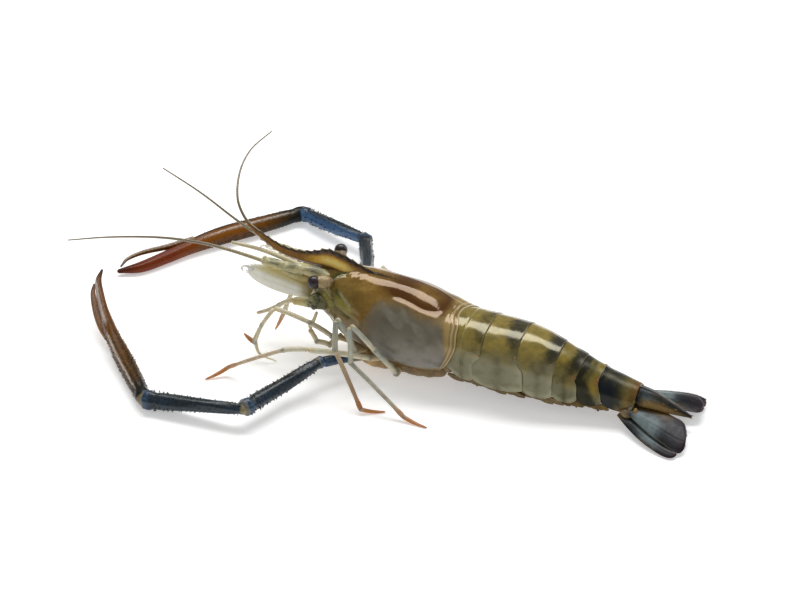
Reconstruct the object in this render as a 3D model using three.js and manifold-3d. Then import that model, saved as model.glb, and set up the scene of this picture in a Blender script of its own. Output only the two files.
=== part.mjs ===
// A raw giant freshwater prawn, whole, lying on its belly with its claws spread in front of it.
// Millimetres. +X runs towards the tail, +Y to the prawn's right and +Z up from the surface that it lies on.
import * as THREE from "three";
import { mergeVertices } from "three/addons/utils/BufferGeometryUtils.js";
import Module from "manifold-3d";

const wasm = await Module();
wasm.setup();

// Driving dimensions
const GAP = 0.3; // soft joint between two shell pieces
const ORIGIN = { x: 40.91, y: -9.49 }; // from the carapace's rear edge to the middle of the whole outline
const EDGE_REACH = 16; // how far the shaping of the carapace's front and rear edges runs in
const ORBIT = { height: 38, depth: 3.6, spread: 5 }; // notch in the carapace's front edge, round the eye
const REAR_CORNER = { height: 24, sweep: 8 }; // rounding of the carapace's lower rear corner
const REAR_BOW = { height: 26, depth: 1.4, spread: 4 }; // its rear edge bows back at mid height
const REAR_RIDGE = { from: 31.5, to: 35, depth: 3.2 }; // and is cut back along the ridge
const ROSTRUM = { thickness: 2.0, edge: 0.8, upperTeeth: 15, lowerTeeth: 9, tooth: 0.9 };
// Joints between the tail's rings: the hinge's height, the run of the lobe below it and the notch's depth.
const JOINTS = [
  { x: 2.8, hinge: 24, lobe: 1.6, notch: 0 },
  { x: 18.8, hinge: 24, lobe: -3.2, notch: 0 },
  { x: 34.6, hinge: 26, lobe: 4.1, notch: 0 },
  { x: 51.8, hinge: 23.2, lobe: -0.3, notch: 2.7 },
  { x: 62.2, hinge: 19.4, lobe: 0, notch: 2 },
  { x: 71.2, hinge: 18.2, lobe: 1.6, notch: 1 },
  { x: 87.2, hinge: 12, lobe: 0, notch: 0 },
];
const RIM = { dip: 0.5, flare: 0.5 }; // a ring starts under its neighbour and ends proud of the next
const PLEURON_ROUNDING = 2.4; // how far a ring's lower corners rise
// A swimming leg's reach before and behind its ring's middle, and its spread by the ring's half width.
const SWIMMERET = { ahead: 3, back: 4, root: 0.3, tip: 0.25, half: 0.17, thick: 2.4 };
const FAN_THICKNESS = 1.3;
const EYE_RADIUS = 3.1;

// Head shield: half width, and heights of its ridge, widest line and underside.
// peak sharpens the ridge above 1, and corner squares the lower edges below 1.
const CARAPACE = [
  { x: -64, half: 8.0, top: 43.0, waist: 34, bottom: 26.0, peak: 1.3, corner: 0.6 },
  { x: -57, half: 11.5, top: 44.0, waist: 32, bottom: 21.0, peak: 1.3, corner: 0.6 },
  { x: -49, half: 14.3, top: 44.2, waist: 29, bottom: 15.6, peak: 1.2, corner: 0.5 },
  { x: -39, half: 16.7, top: 44.0, waist: 27, bottom: 11.8, peak: 1.15, corner: 0.45 },
  { x: -28, half: 18.0, top: 43.4, waist: 25, bottom: 9.4, peak: 1.1, corner: 0.4 },
  { x: -15, half: 18.3, top: 41.2, waist: 24, bottom: 7.8, peak: 1.05, corner: 0.4 },
  { x: -4, half: 17.6, top: 37.7, waist: 23.5, bottom: 7.8, peak: 1, corner: 0.4 },
  { x: 6, half: 16.8, top: 33.6, waist: 23, bottom: 9.0, peak: 1, corner: 0.4 },
];
// Underside of the chest, between the legs.
const THORAX = [
  { x: -65.5, half: 6.0, top: 38.5, waist: 31, bottom: 25.5, peak: 0.8, corner: 0.85 },
  { x: -60, half: 9.0, top: 39.5, waist: 29, bottom: 20.5, peak: 0.8, corner: 0.85 },
  { x: -54, half: 7.8, top: 30, waist: 18, bottom: 13.0, peak: 0.8, corner: 0.85 },
  { x: -44, half: 9.6, top: 22, waist: 12, bottom: 7.0, peak: 0.8, corner: 0.85 },
  { x: -28, half: 13.4, top: 18, waist: 10, bottom: 4.6, peak: 0.8, corner: 0.8 },
  { x: -12, half: 14.0, top: 16, waist: 9.5, bottom: 4.4, peak: 0.8, corner: 0.8 },
  { x: 5, half: 12.6, top: 16, waist: 11, bottom: 6.8, peak: 0.8, corner: 0.8 },
];
// Tail: half width, ridge, height where the sides hang straight, lower edge and belly.
const ABDOMEN = [
  { x: 4, half: 15.6, top: 33.8, waist: 23, bottom: 9.8, belly: 14.0 },
  { x: 21, half: 16.4, top: 33.0, waist: 22, bottom: 8.0, belly: 12.5 },
  { x: 37, half: 15.8, top: 32.0, waist: 20, bottom: 7.8, belly: 11.5 },
  { x: 52.4, half: 13.4, top: 27.6, waist: 17, bottom: 6.9, belly: 10.5 },
  { x: 63.2, half: 11.2, top: 23.4, waist: 14.5, bottom: 6.6, belly: 9.5 },
  { x: 71.6, half: 9.7, top: 20.4, waist: 12.5, bottom: 6.8, belly: 8.5 },
  { x: 87.2, half: 7.4, top: 15.8, waist: 10, bottom: 5.0, belly: 6.2 },
];
// Edges of the rostrum's blade, from its root in the shield to its upturned tip.
const ROSTRUM_UPPER = [
  [-33, 43.2], [-40, 44.9], [-46, 47.0], [-50, 48.7], [-54, 50.2], [-61, 51.1], [-67, 48.9], [-75, 47.1],
  [-84, 48.0], [-93, 52.0],
];
const ROSTRUM_TIP = [-101.5, 56.6];
const ROSTRUM_LOWER = [[-97, 51.2], [-91, 47.0], [-84, 43.6], [-76, 41.8], [-66, 40.2], [-50, 38.5]];

const SHELL = { carapace: 0x6b5731, abdomen: 0x6a6643, tail: 0x2c3440, thorax: 0x84683f };
const LIMB = { claw: 0x1f2d42, hand: 0x5d3316, leg: 0xb4ac8c, scale: 0xcfcca4, feeler: 0x7b6f57 };
const HEAD = { eye: 0x1c1317, stalk: 0xc19b79, antennule: 0x9c9466 };

const vec = (p) => new THREE.Vector3(...p);
const power = (value, exponent) => Math.sign(value) * Math.abs(value) ** exponent;
const ease = (from, to, value) => THREE.MathUtils.smoothstep((value - from) / (to - from), 0, 1);
const hump = (value, middle, spread) => Math.exp(-(((value - middle) / spread) ** 2));

// The value of one column of a station table at x, on a smooth curve through the stations.
function along(stations, column, x) {
  const last = stations.length - 1;
  let i = 0;
  while (i < last - 1 && x > stations[i + 1].x) i++;
  const [a, b] = [stations[i], stations[i + 1]];
  const span = b.x - a.x;
  const t = Math.min(1, Math.max(0, (x - a.x) / span));
  const slope = (k) => {
    const [p, q] = [stations[Math.max(0, k - 1)], stations[Math.min(last, k + 1)]];
    return (q[column] - p[column]) / (q.x - p.x);
  };
  const [t2, t3] = [t * t, t * t * t];
  return (
    (2 * t3 - 3 * t2 + 1) * a[column] + (t3 - 2 * t2 + t) * span * slope(i) +
    (3 * t2 - 2 * t3) * b[column] + (t3 - t2) * span * slope(i + 1)
  );
}

const stationAt = (stations, x) =>
  Object.fromEntries(Object.keys(stations[0]).map((c) => [c, c === "x" ? x : along(stations, c, x)]));

// A solid from a geometry's triangles.
function solidOf(geometry) {
  const bare = geometry.index ? geometry.toNonIndexed() : geometry.clone();
  bare.deleteAttribute("normal");
  bare.deleteAttribute("uv");
  const merged = mergeVertices(bare, 1e-4);
  const triVerts = new Uint32Array(merged.index.array);
  const vertProperties = merged.attributes.position.array;
  return new wasm.Manifold(new wasm.Mesh({ numProp: 3, vertProperties, triVerts }));
}

function geometryOf(solid) {
  const mesh = solid.getMesh();
  const geometry = new THREE.BufferGeometry();
  geometry.setAttribute("position", new THREE.BufferAttribute(new Float32Array(mesh.vertProperties), 3));
  geometry.setIndex([...mesh.triVerts]);
  geometry.computeVertexNormals();
  return geometry;
}

// A closed skin over rings of points, each ring running anticlockwise seen from the last ring's side.
function skin(rings, flat) {
  const count = rings[0].length;
  const index = [];
  for (let r = 0; r + 1 < rings.length; r++) {
    for (let k = 0; k < count; k++) {
      const [a, b] = [r * count + k, r * count + ((k + 1) % count)];
      index.push(a, b, a + count, b, b + count, a + count);
    }
  }
  const cap = THREE.ShapeUtils.triangulateShape(flat, []);
  const end = (rings.length - 1) * count;
  for (const [a, b, c] of cap) index.push(c, b, a, end + a, end + b, end + c);
  const geometry = new THREE.BufferGeometry().setFromPoints(rings.flat());
  geometry.setIndex(index);
  const solid = solidOf(geometry);
  if (solid.volume() > 0) return solid;
  geometry.setIndex(index.reverse());
  return solidOf(geometry);
}

const circle = (sides) =>
  Array.from({ length: sides }, (_, k) => {
    const angle = (2 * Math.PI * k) / sides;
    return new THREE.Vector2(Math.cos(angle), Math.sin(angle));
  });

// A tapering limb through points with a radius each. flatten thins it along the up direction.
function limb(stops, { sides = 8, up = [0, 0, 1], flatten = 1 } = {}) {
  const points = stops.map(([p]) => vec(p));
  const last = points.length - 1;
  const heading = (i, j) => points[j].clone().sub(points[i]).normalize();
  const round = circle(sides);
  const rings = points.map((point, i) => {
    const before = heading(Math.max(0, i - 1), Math.max(1, i));
    const after = heading(Math.min(i, last - 1), Math.min(i + 1, last));
    const forward = before.add(after).normalize();
    const across = vec(up).cross(forward).normalize();
    const rise = forward.clone().cross(across);
    const radius = stops[i][1];
    return round.map((c) =>
      point.clone().addScaledVector(across, c.x * radius).addScaledVector(rise, c.y * radius * flatten));
  });
  return skin(rings, round);
}

// A flat leaf from base to tip, widest part way along, with its broad side along across.
// A lower swell fills its root, and skew carries its end further out on one side.
function leaf(form) {
  const { base, tip, across, half, thick, widest = 0.55, root = 0.25, swell = 2, skew = 0, steps = 7 } = form;
  const [start, wide] = [vec(base), vec(across)];
  const forward = vec(tip).sub(start);
  wide.addScaledVector(forward, -wide.dot(forward) / forward.lengthSq()).normalize();
  const rise = forward.clone().normalize().cross(wide);
  const round = circle(10);
  const rings = [];
  for (let i = 0; i <= steps; i++) {
    const t = i / steps;
    const widening = 1 - (1 - root) * Math.max(0, 1 - t / widest) ** swell;
    const narrowing = 1 - 0.75 * ((t - widest) / (1 - widest)) ** 3;
    const reach = half * (t < widest ? widening : narrowing);
    rings.push(round.map((c) => start.clone()
      .addScaledVector(forward, t * (1 + (skew * c.x * reach) / half))
      .addScaledVector(wide, c.x * reach)
      .addScaledVector(rise, (c.y * thick) / 2)));
  }
  return skin(rings, round);
}

// An egg-shaped ring of the head shield or the chest, moved forwards or back at each height by shift.
function bodyRing(s, sides, shift) {
  return circle(sides).map((c) => {
    const [out, up] = [c.y, c.x];
    const reach = up > 0 ? s.top - s.waist : s.waist - s.bottom;
    const z = s.waist + reach * power(up, up > 0 ? s.peak : s.corner);
    return new THREE.Vector3(s.x + shift(s.x, z), s.half * power(out, up > 0 ? 1 : s.corner), z);
  });
}

function bodyLoft(stations, { steps, sides, shift = () => 0 }) {
  const [from, to] = [stations[0].x, stations.at(-1).x];
  const rings = [];
  for (let i = 0; i <= steps; i++)
    rings.push(bodyRing(stationAt(stations, from + ((to - from) * i) / steps), sides, shift));
  return skin(rings, circle(sides));
}

// The blade seen from the side, its two edges saw-toothed, drawn out to its thickness with bevelled edges.
function rostrumBlade() {
  const upper = new THREE.SplineCurve([...ROSTRUM_UPPER, ROSTRUM_TIP].map((p) => new THREE.Vector2(...p)));
  const lower = new THREE.SplineCurve([ROSTRUM_TIP, ...ROSTRUM_LOWER].map((p) => new THREE.Vector2(...p)));
  const outline = [];
  const saw = (curve, teeth, from, to, height) => {
    for (let i = 0; i < teeth; i++) {
      const t = from + ((to - from) * i) / teeth;
      const root = curve.getPoint(t);
      const peak = curve.getPoint(t + ((to - from) * 0.7) / teeth);
      outline.push(root, new THREE.Vector2(peak.x, peak.y + height));
    }
  };
  outline.push(upper.getPoint(0));
  saw(upper, ROSTRUM.upperTeeth, 0.1, 0.97, ROSTRUM.tooth);
  outline.push(new THREE.Vector2(...ROSTRUM_TIP));
  saw(lower, ROSTRUM.lowerTeeth, 0.05, 0.6, -0.7 * ROSTRUM.tooth);
  outline.push(lower.getPoint(0.8), lower.getPoint(1));
  const blade = new THREE.ExtrudeGeometry(new THREE.Shape(outline), {
    depth: ROSTRUM.thickness, bevelThickness: ROSTRUM.edge, bevelSize: 0.4, bevelOffset: -0.4,
    bevelSegments: 1,
  });
  blade.translate(0, 0, -ROSTRUM.thickness / 2).rotateX(Math.PI / 2);
  return solidOf(blade);
}

// The head shield. Its front edge is notched round the eyes, and its lower rear corner is rounded.
function carapace() {
  const [front, rear] = [CARAPACE[0], CARAPACE.at(-1)];
  const shift = (x, z) => {
    const near = Math.max(0, 1 - (x - front.x) / EDGE_REACH);
    const notch = ORBIT.depth * hump(z, ORBIT.height, ORBIT.spread);
    const low = Math.max(0, REAR_CORNER.height - z) / (REAR_CORNER.height - rear.bottom);
    const far = Math.max(0, 1 - (rear.x - x) / EDGE_REACH);
    const bow = REAR_BOW.depth * hump(z, REAR_BOW.height, REAR_BOW.spread);
    const ridge = REAR_RIDGE.depth * ease(REAR_RIDGE.from, REAR_RIDGE.to, z);
    return near * notch + far * (bow - ridge - REAR_CORNER.sweep * low ** 2);
  };
  return bodyLoft(CARAPACE, { steps: 18, sides: 28, shift }).add(rostrumBlade());
}

// Where a joint between two rings lies at each height.
function jointAt(j, z) {
  const { x, hinge, lobe, notch } = JOINTS[j];
  return x + lobe * ease(hinge, hinge - 7, z) - notch * hump(z, hinge, 1.8);
}

// One shell ring of the tail: a round back with hanging sides, and a belly set in between them.
function somite(i) {
  const [from, to] = [JOINTS[i].x + GAP, JOINTS[i + 1].x];
  const steps = 4;
  const arch = 15;
  const rings = [];
  let outline;
  for (let k = 0; k <= steps; k++) {
    const t = k / steps;
    const s = stationAt(ABDOMEN, from + (to - from) * t);
    const proud = (RIM.dip + RIM.flare) * t ** 2 - RIM.dip;
    const half = s.half + proud;
    const bottom = s.bottom + PLEURON_ROUNDING * Math.abs(2 * t - 1) ** 3;
    const right = [[half * 0.72, s.belly], [half * 0.82, bottom + 0.5], [half * 0.94, bottom]];
    for (const rise of [0.3, 0.55, 0.8])
      right.push([half * (0.94 + 0.06 * rise), bottom + (s.waist - bottom) * rise]);
    const ring = [...right];
    for (let a = 0; a < arch; a++) {
      const angle = Math.PI / 2 - (Math.PI * a) / (arch - 1);
      const up = Math.max(0, Math.cos(angle));
      ring.push([half * Math.sin(angle), s.waist + (s.top + proud - s.waist) * up]);
    }
    ring.push(...right.toReversed().map(([y, z]) => [-y, z]));
    outline ??= ring.map(([y, z]) => new THREE.Vector2(y, z));
    rings.push(ring.map(([y, z]) => {
      const x = (jointAt(i, z) + GAP) * (1 - t) + jointAt(i + 1, z) * t;
      return new THREE.Vector3(x, y, z);
    }));
  }
  return skin(rings, outline);
}

// A ring of the tail with its pair of swimming legs folded back under it.
function somiteWithSwimmerets(i) {
  const middle = (JOINTS[i].x + JOINTS[i + 1].x) / 2;
  const { half, belly } = stationAt(ABDOMEN, middle);
  let solid = somite(i);
  for (const sign of [-1, 1]) {
    const base = [middle - SWIMMERET.ahead, sign * half * SWIMMERET.root, belly + 2];
    const tip = [middle + SWIMMERET.back, sign * half * SWIMMERET.tip, -0.6];
    const size = { half: half * SWIMMERET.half, thick: SWIMMERET.thick };
    solid = solid.add(leaf({ base, tip, across: [0, 1, 0], ...size, steps: 4 }));
  }
  return solid;
}

// Pieces in the order that they are fitted: a later piece is cut back from those before it.
const pieces = [];
const piece = (name, color, solid, roughness) => pieces.push({ name, color, solid, roughness });
const sides = [["left", -1], ["right", 1]];
const mirrored = (sign, [x, y, z]) => [x, sign * y, z];

piece("carapace", SHELL.carapace, carapace(), 0.25);
piece("thorax", SHELL.thorax, bodyLoft(THORAX, { steps: 7, sides: 14 }), 0.5);
for (let i = 0; i < 5; i++) piece(`abdomen_${i + 1}`, SHELL.abdomen, somiteWithSwimmerets(i), 0.25);
piece("abdomen_6", SHELL.tail, somite(5), 0.25);

// Tail fan: a pointed middle plate, and two leaves on either side that slope like a roof.
const TELSON = [[[87.5, 0, 11.2], 6.3], [[94, 0, 10.5], 5.4], [[103, 0, 8.3], 3.4], [[110.5, 0, 6.4], 1.0]];
piece("telson", SHELL.tail, limb(TELSON, { sides: 14, flatten: 0.62 }), 0.3);
const UROPODS = {
  inner: {
    left: { base: [84, -8, 9], tip: [112.9, -14.1, 3.6], half: 8.4, slope: 0.25, skew: 0.12 },
    right: { base: [84, 5.6, 9], tip: [113.7, 12.3, 4.6], half: 7, slope: 0.1 },
    form: { widest: 0.8, root: 0.2, swell: 1.3 },
  },
  outer: {
    left: { base: [81.5, -7.6, 5.6], tip: [110.9, -21, 2], half: 6.3, slope: 0.25, skew: 0.12 },
    right: { base: [82, 7, 6.5], tip: [113.4, 18.3, 3.2], half: 7, slope: 0.2 },
    form: { widest: 0.55, root: 0.35, swell: 1.5 },
  },
};
for (const [side, sign] of sides) {
  for (const [row, u] of Object.entries(UROPODS)) {
    const { slope, ...place } = u[side];
    const blade = leaf({ ...place, ...u.form, across: [0, sign, -slope], thick: FAN_THICKNESS });
    piece(`uropod_${row}_${side}`, SHELL.tail, blade, 0.3);
  }
}

// Eyes on short stalks, the scales and jointed stems of the feelers, and the feelers themselves.
const EYES = { left: [-61.6, -13.5, 41.3], right: [-60.2, 13, 43.5] };
const EYE_STALKS = {
  left: [
    [[-55.6, -9, 40.4], 2.1], [[-57.2, -10.6, 40.9], 2.6], [[-58.8, -11.8, 41.2], 2.7],
    [[-60.4, -12.8, 41.3], 2.4],
  ],
  right: [
    [[-57.2, 6.2, 40.2], 1.9], [[-58, 8.4, 41.2], 2.2], [[-58.9, 10.6, 42.4], 2.4], [[-59.6, 12, 43.1], 2.2],
  ],
};
const SCALE = { base: [-65, 9.5, 32.6], tip: [-96.6, 10, 38.3], half: 4.9, thick: 1.3 };
const ANTENNA_STEM = [
  [[-58, 9, 28.4], 3.4], [[-62.4, 9.8, 29], 3.7], [[-66.2, 9.8, 27], 2.2], [[-74, 9, 25.2], 1.4],
];
const ANTENNULE_STEM = [
  [[-58, 4.6, 40.2], 2.3], [[-63, 5, 40.9], 2.6], [[-70, 5.3, 41.3], 2.9], [[-76, 5.6, 41.1], 2.8],
  [[-82, 6, 41.3], 2.6], [[-89.5, 6.7, 42.2], 2.1],
];
for (const [side, sign] of sides) {
  const flip = (stops) => stops.map(([p, r]) => [mirrored(sign, p), r]);
  const eyeball = new THREE.SphereGeometry(EYE_RADIUS, 16, 10).translate(...EYES[side]);
  piece(`eye_${side}`, HEAD.eye, solidOf(eyeball), 0.08);
  piece(`eye_stalk_${side}`, HEAD.stalk, limb(EYE_STALKS[side], { sides: 12 }), 0.4);
  piece(`antenna_stem_${side}`, HEAD.antennule, limb(flip(ANTENNA_STEM), { sides: 10 }), 0.4);
  piece(`antennule_stem_${side}`, HEAD.antennule, limb(flip(ANTENNULE_STEM)), 0.4);
  const place = { base: mirrored(sign, SCALE.base), tip: mirrored(sign, SCALE.tip), across: [0, sign, -1] };
  piece(`antenna_scale_${side}`, LIMB.scale, leaf({ ...SCALE, ...place, widest: 0.5, root: 0.5 }), 0.3);
}

// Feelers, each a smooth curve that thins from its root to its tip.
const FEELERS = {
  feeler_left_long: {
    root: 0.95, tip: 0.35,
    path: [
      [-89.8, -7, 42.2], [-106, -8, 44.6], [-122, -8, 45.1],
      [-143, -8, 42.9], [-171, -6, 35.5], [-195.8, -4, 27],
    ],
  },
  feeler_left_short: { root: 1.35, tip: 0.8, path: [[-84, -3.6, 44], [-93, -3, 45.2], [-107.2, -3, 45.7]] },
  feeler_right_rising: {
    root: 0.9, tip: 0.35,
    path: [[-90, 6.3, 43.4], [-98, 4, 48.5], [-107, 2.5, 54.2], [-125, 2, 65.3], [-144, 2, 74.2]],
  },
  feeler_right_curled: {
    root: 0.9, tip: 0.35,
    path: [
      [-90.4, 8.2, 42.6], [-98.5, 6.5, 48], [-105.5, 7, 53.6], [-111, 11, 60.5], [-116, 24, 67],
      [-117, 38, 71.5], [-113, 52, 75],
    ],
  },
};
for (const [name, { root, tip, path }] of Object.entries(FEELERS)) {
  const curve = new THREE.CatmullRomCurve3(path.map(vec), false, "centripetal");
  const steps = 5 * (path.length - 1);
  const stops = curve.getSpacedPoints(steps).map((p, i) => [p.toArray(), root + ((tip - root) * i) / steps]);
  piece(name, LIMB.feeler, limb(stops, { sides: 6 }), 0.5);
}

// Great claws: each joint's stops run from the body outwards.
const CLAWS = {
  left: {
    ischium: [[[-36.5, -12, 7.6], 2.2], [[-44, -20.5, 9.2], 2.4], [[-52.5, -30.6, 11.1], 2.7]],
    merus: [[[-52.5, -30.8, 10.9], 2.8], [[-60.4, -50.6, 9.6], 3.4], [[-68.9, -71.9, 9], 3.8]],
    carpus: [
      [[-68.9, -72.8, 9.1], 2.6], [[-89.2, -74.8, 7], 3.2],
      [[-103, -75.8, 5.2], 3.9], [[-115.4, -76.8, 4.2], 4.3],
    ],
    hand: [
      [[-115.6, -76.8, 4.1], 3.5], [[-138.3, -54.7, 5], 4.1], [[-150.8, -43, 7.6], 3.4],
      [[-162.7, -30, 11], 2.2], [[-168.7, -22.7, 14.5], 1.9], [[-173, -16.2, 17], 1.5],
      [[-173.6, -11.6, 19.6], 0.6],
    ],
    finger: [
      [[-154, -42.4, 5.6], 1.8], [[-160.6, -36.2, 6.4], 2.1], [[-168.6, -27.5, 8], 1.8],
      [[-175.3, -18.5, 10.5], 1.2], [[-176.7, -14.8, 12.5], 0.6],
    ],
  },
  right: {
    ischium: [[[-36.5, 12, 7.6], 2.2], [[-46, 22, 12], 2.4], [[-56.4, 33.5, 16.1], 2.7]],
    merus: [[[-56.4, 33.5, 16.1], 2.8], [[-66, 56, 12], 3.2], [[-77.6, 80.2, 8.2], 3.5]],
    carpus: [[[-77.4, 80, 8.1], 2.8], [[-99, 87.6, 6.6], 3.7], [[-119, 96.6, 4.6], 3.8]],
    hand: [
      [[-119, 97.6, 4.4], 3.6], [[-136.3, 74.8, 4.7], 4.7], [[-147.9, 60.5, 4.6], 4.6],
      [[-158.1, 45.8, 3.8], 3.8], [[-164.7, 33.6, 3.3], 3.3], [[-172.2, 21.4, 2.8], 2.8],
      [[-180.5, 14.9, 2.2], 1.2],
    ],
    finger: [
      [[-157.2, 48.2, 7.4], 1.5], [[-166.7, 38.7, 6], 1.5], [[-176.1, 30.2, 5.2], 1.2],
      [[-180.7, 23.1, 4.4], 0.9], [[-180.8, 17, 3.8], 0.5],
    ],
  },
};
for (const [side, joints] of Object.entries(CLAWS)) {
  for (const [joint, stops] of Object.entries(joints)) {
    const color = joint === "hand" || joint === "finger" ? LIMB.hand : LIMB.claw;
    piece(`claw_${joint}_${side}`, color, limb(stops, { sides: 12 }), 0.35);
  }
}

// Walking legs, small front nippers and mouth legs, each in an upper part and a lower part past the knee.
const LEGS = {
  leg_rear_left: {
    upper: [
      [[-20, -10, 6.4], 1.9], [[-20.5, -16.6, 4.8], 1.7],
      [[-28, -24, 20], 1.4], [[-35.3, -30.8, 34.6], 1.3],
    ],
    lower: [
      [[-36.2, -32, 34.4], 1.3], [[-34.6, -35, 18.3], 1.2],
      [[-6.3, -42.5, 2], 0.9], [[5.1, -44, 0.4], 0.4],
    ],
  },
  leg_middle_left: {
    upper: [[[-37, -10, 9], 1.8], [[-40, -17.6, 12.6], 1.5], [[-44.2, -26.4, 33.2], 1.3]],
    lower: [
      [[-44.9, -27.8, 33], 1.3], [[-43, -33, 21.8], 1.2],
      [[-25.7, -44.7, 2], 0.9], [[-16.1, -40.2, 0.4], 0.4],
    ],
  },
  leg_front_left: {
    upper: [[[-27, -10, 6.6], 1.8], [[-33, -18, 10.6], 1.6], [[-53, -37.4, 22], 1.3]],
    lower: [
      [[-54.4, -38.4, 22.6], 1.3], [[-63.6, -43, 22.7], 1.2],
      [[-92.8, -40.3, 4], 0.9], [[-100.6, -48.3, 0.4], 0.4],
    ],
  },
  leg_rear_right: {
    upper: [[[-20, 10, 6.4], 1.9], [[-20.5, 17, 5.4], 1.7], [[-31, 27.6, 23], 1.3]],
    lower: [[[-31.8, 28.8, 22.8], 1.3], [[-27, 34, 14], 1.2], [[-6, 43, 2], 0.9], [[4, 46, 0.4], 0.4]],
  },
  leg_middle_right: {
    upper: [[[-37, 10, 9], 1.8], [[-40, 17.6, 12.6], 1.5], [[-44.8, 26, 29.6], 1.3]],
    lower: [[[-45.4, 27.4, 29.4], 1.3], [[-42, 33, 19], 1.2], [[-25, 45, 2], 0.9], [[-15, 44, 0.4], 0.4]],
  },
  leg_front_right: {
    upper: [[[-27, 10, 6.6], 1.8], [[-33, 18, 8.4], 1.6], [[-44, 33, 17], 1.3]],
    lower: [[[-45, 34.2, 17], 1.3], [[-47, 40, 12], 1.2], [[-38, 54, 2], 0.9], [[-32, 60, 0.4], 0.4]],
  },
  nipper_left: {
    upper: [
      [[-47.5, -8.6, 10.6], 1.6], [[-53.2, -14, 14.7], 1.4],
      [[-62.1, -18, 22.2], 1.3], [[-77.6, -19.8, 26.9], 1.2],
    ],
    lower: [
      [[-79.2, -20.4, 26.2], 1.2], [[-84.5, -22, 17.9], 1.1],
      [[-88, -23.5, 8.6], 1.3], [[-92.8, -24, 12.4], 0.4],
    ],
  },
  nipper_right: {
    upper: [[[-47.5, 8.6, 10.6], 1.6], [[-56, 11, 16], 1.4], [[-78.5, 4, 24.5], 1.2]],
    lower: [[[-80.2, 3, 23.6], 1.2], [[-84.2, 1.6, 11.8], 1.3], [[-88.8, -0.6, 0.6], 0.5]],
  },
  mouth_leg_left: {
    upper: [
      [[-52, -6.4, 10.8], 1.5], [[-56, -10.4, 7], 1.4],
      [[-61.5, -12.4, 8.6], 1.3], [[-64.6, -12.4, 13.8], 1.2],
    ],
    lower: [[[-65, -12, 15.4], 1.2], [[-62.6, -9.8, 22.4], 0.8]],
  },
  mouth_leg_right: {
    upper: [[[-60, 1.5, 19.6], 1.8], [[-67, -2.6, 23.4], 1.7], [[-75.7, -4.6, 23], 1.5]],
    lower: [[[-77.2, -4.6, 22.6], 1.4], [[-84, -4.8, 18.4], 1.2], [[-94.5, -6, 12.2], 0.9]],
  },
};
for (const [leg, parts] of Object.entries(LEGS))
  for (const [part, stops] of Object.entries(parts))
    piece(`${leg}_${part}`, LIMB.leg, limb(stops, { sides: 7 }), 0.4);

// A copy of a solid whose faces have all moved outwards by the gap.
function swollen(solid) {
  const geometry = geometryOf(solid);
  const { position, normal } = geometry.attributes;
  const corner = (k) => vec([position.getX(k), position.getY(k), position.getZ(k)]);
  const lean = new Float32Array(position.count).fill(1);
  const index = geometry.index.array;
  for (let f = 0; f < index.length; f += 3) {
    const face = new THREE.Triangle(corner(index[f]), corner(index[f + 1]), corner(index[f + 2]));
    if (face.getArea() < 1e-6) continue;
    const facing = face.getNormal(new THREE.Vector3());
    for (const k of index.slice(f, f + 3))
      lean[k] = Math.min(lean[k], facing.dot(vec([normal.getX(k), normal.getY(k), normal.getZ(k)])));
  }
  for (let k = 0; k < position.count; k++) {
    const far = GAP / Math.max(0.4, lean[k]);
    position.setXYZ(
      k, position.getX(k) + far * normal.getX(k), position.getY(k) + far * normal.getY(k),
      position.getZ(k) + far * normal.getZ(k));
  }
  return solidOf(geometry);
}

// Fitting: every piece is cut flat by the surface it lies on and kept clear of the pieces before it.
const FLOOR = solidOf(new THREE.BoxGeometry(600, 600, 40).translate(0, 0, -20));
const largest = (solid) => solid.decompose().reduce((a, b) => (b.volume() > a.volume() ? b : a));
const apart = (a, b) => [0, 1, 2].some((k) => a.min[k] > b.max[k] || a.max[k] < b.min[k]);
const prawn = new THREE.Group();
const fitted = [];
for (const { name, color, solid, roughness } of pieces) {
  let trimmed = solid.subtract(FLOOR);
  const box = solid.boundingBox();
  for (const other of fitted) if (!apart(box, other.box)) trimmed = trimmed.subtract(other.grown);
  trimmed = largest(trimmed);
  const grown = swollen(trimmed);
  fitted.push({ grown, box: grown.boundingBox() });
  const mesh = new THREE.Mesh(
    geometryOf(trimmed), new THREE.MeshStandardMaterial({ color, roughness, metalness: 0 }));
  mesh.name = name;
  prawn.add(mesh);
}
prawn.position.set(ORIGIN.x, ORIGIN.y, 0);

const part = new THREE.Group();
part.add(prawn);
export default part;
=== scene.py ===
import math

import bmesh
import bpy
import numpy as np
from mathutils import Matrix, Vector


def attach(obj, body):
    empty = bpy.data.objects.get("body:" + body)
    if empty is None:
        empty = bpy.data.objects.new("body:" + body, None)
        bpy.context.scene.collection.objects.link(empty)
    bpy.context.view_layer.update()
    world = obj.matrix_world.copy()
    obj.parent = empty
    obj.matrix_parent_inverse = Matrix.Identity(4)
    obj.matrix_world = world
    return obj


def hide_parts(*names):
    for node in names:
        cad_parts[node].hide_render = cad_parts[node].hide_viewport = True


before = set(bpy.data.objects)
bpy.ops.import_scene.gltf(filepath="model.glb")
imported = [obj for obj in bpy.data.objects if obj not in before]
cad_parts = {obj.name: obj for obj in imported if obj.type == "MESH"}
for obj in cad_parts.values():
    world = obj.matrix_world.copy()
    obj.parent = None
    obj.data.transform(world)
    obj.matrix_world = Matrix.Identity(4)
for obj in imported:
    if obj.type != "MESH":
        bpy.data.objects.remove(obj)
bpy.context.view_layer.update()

# Lengths below are millimetres, counted from the carapace's rear edge on the surface:
# +x to the tail, +y to the prawn's right, +z up.
mm = 0.001
origin = np.array((40.91, -9.49, 0.0))  # where that point lies in the part
restHeight = 0.05  # no piece reaches lower
askew = (0.31, 0.52, 0.79)  # a direction that no axis below follows
pi = math.pi


# Small maths

def unit(v):
    v = np.asarray(v, float)
    return v / np.maximum(np.linalg.norm(v, axis=-1, keepdims=True), 1e-12)


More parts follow.
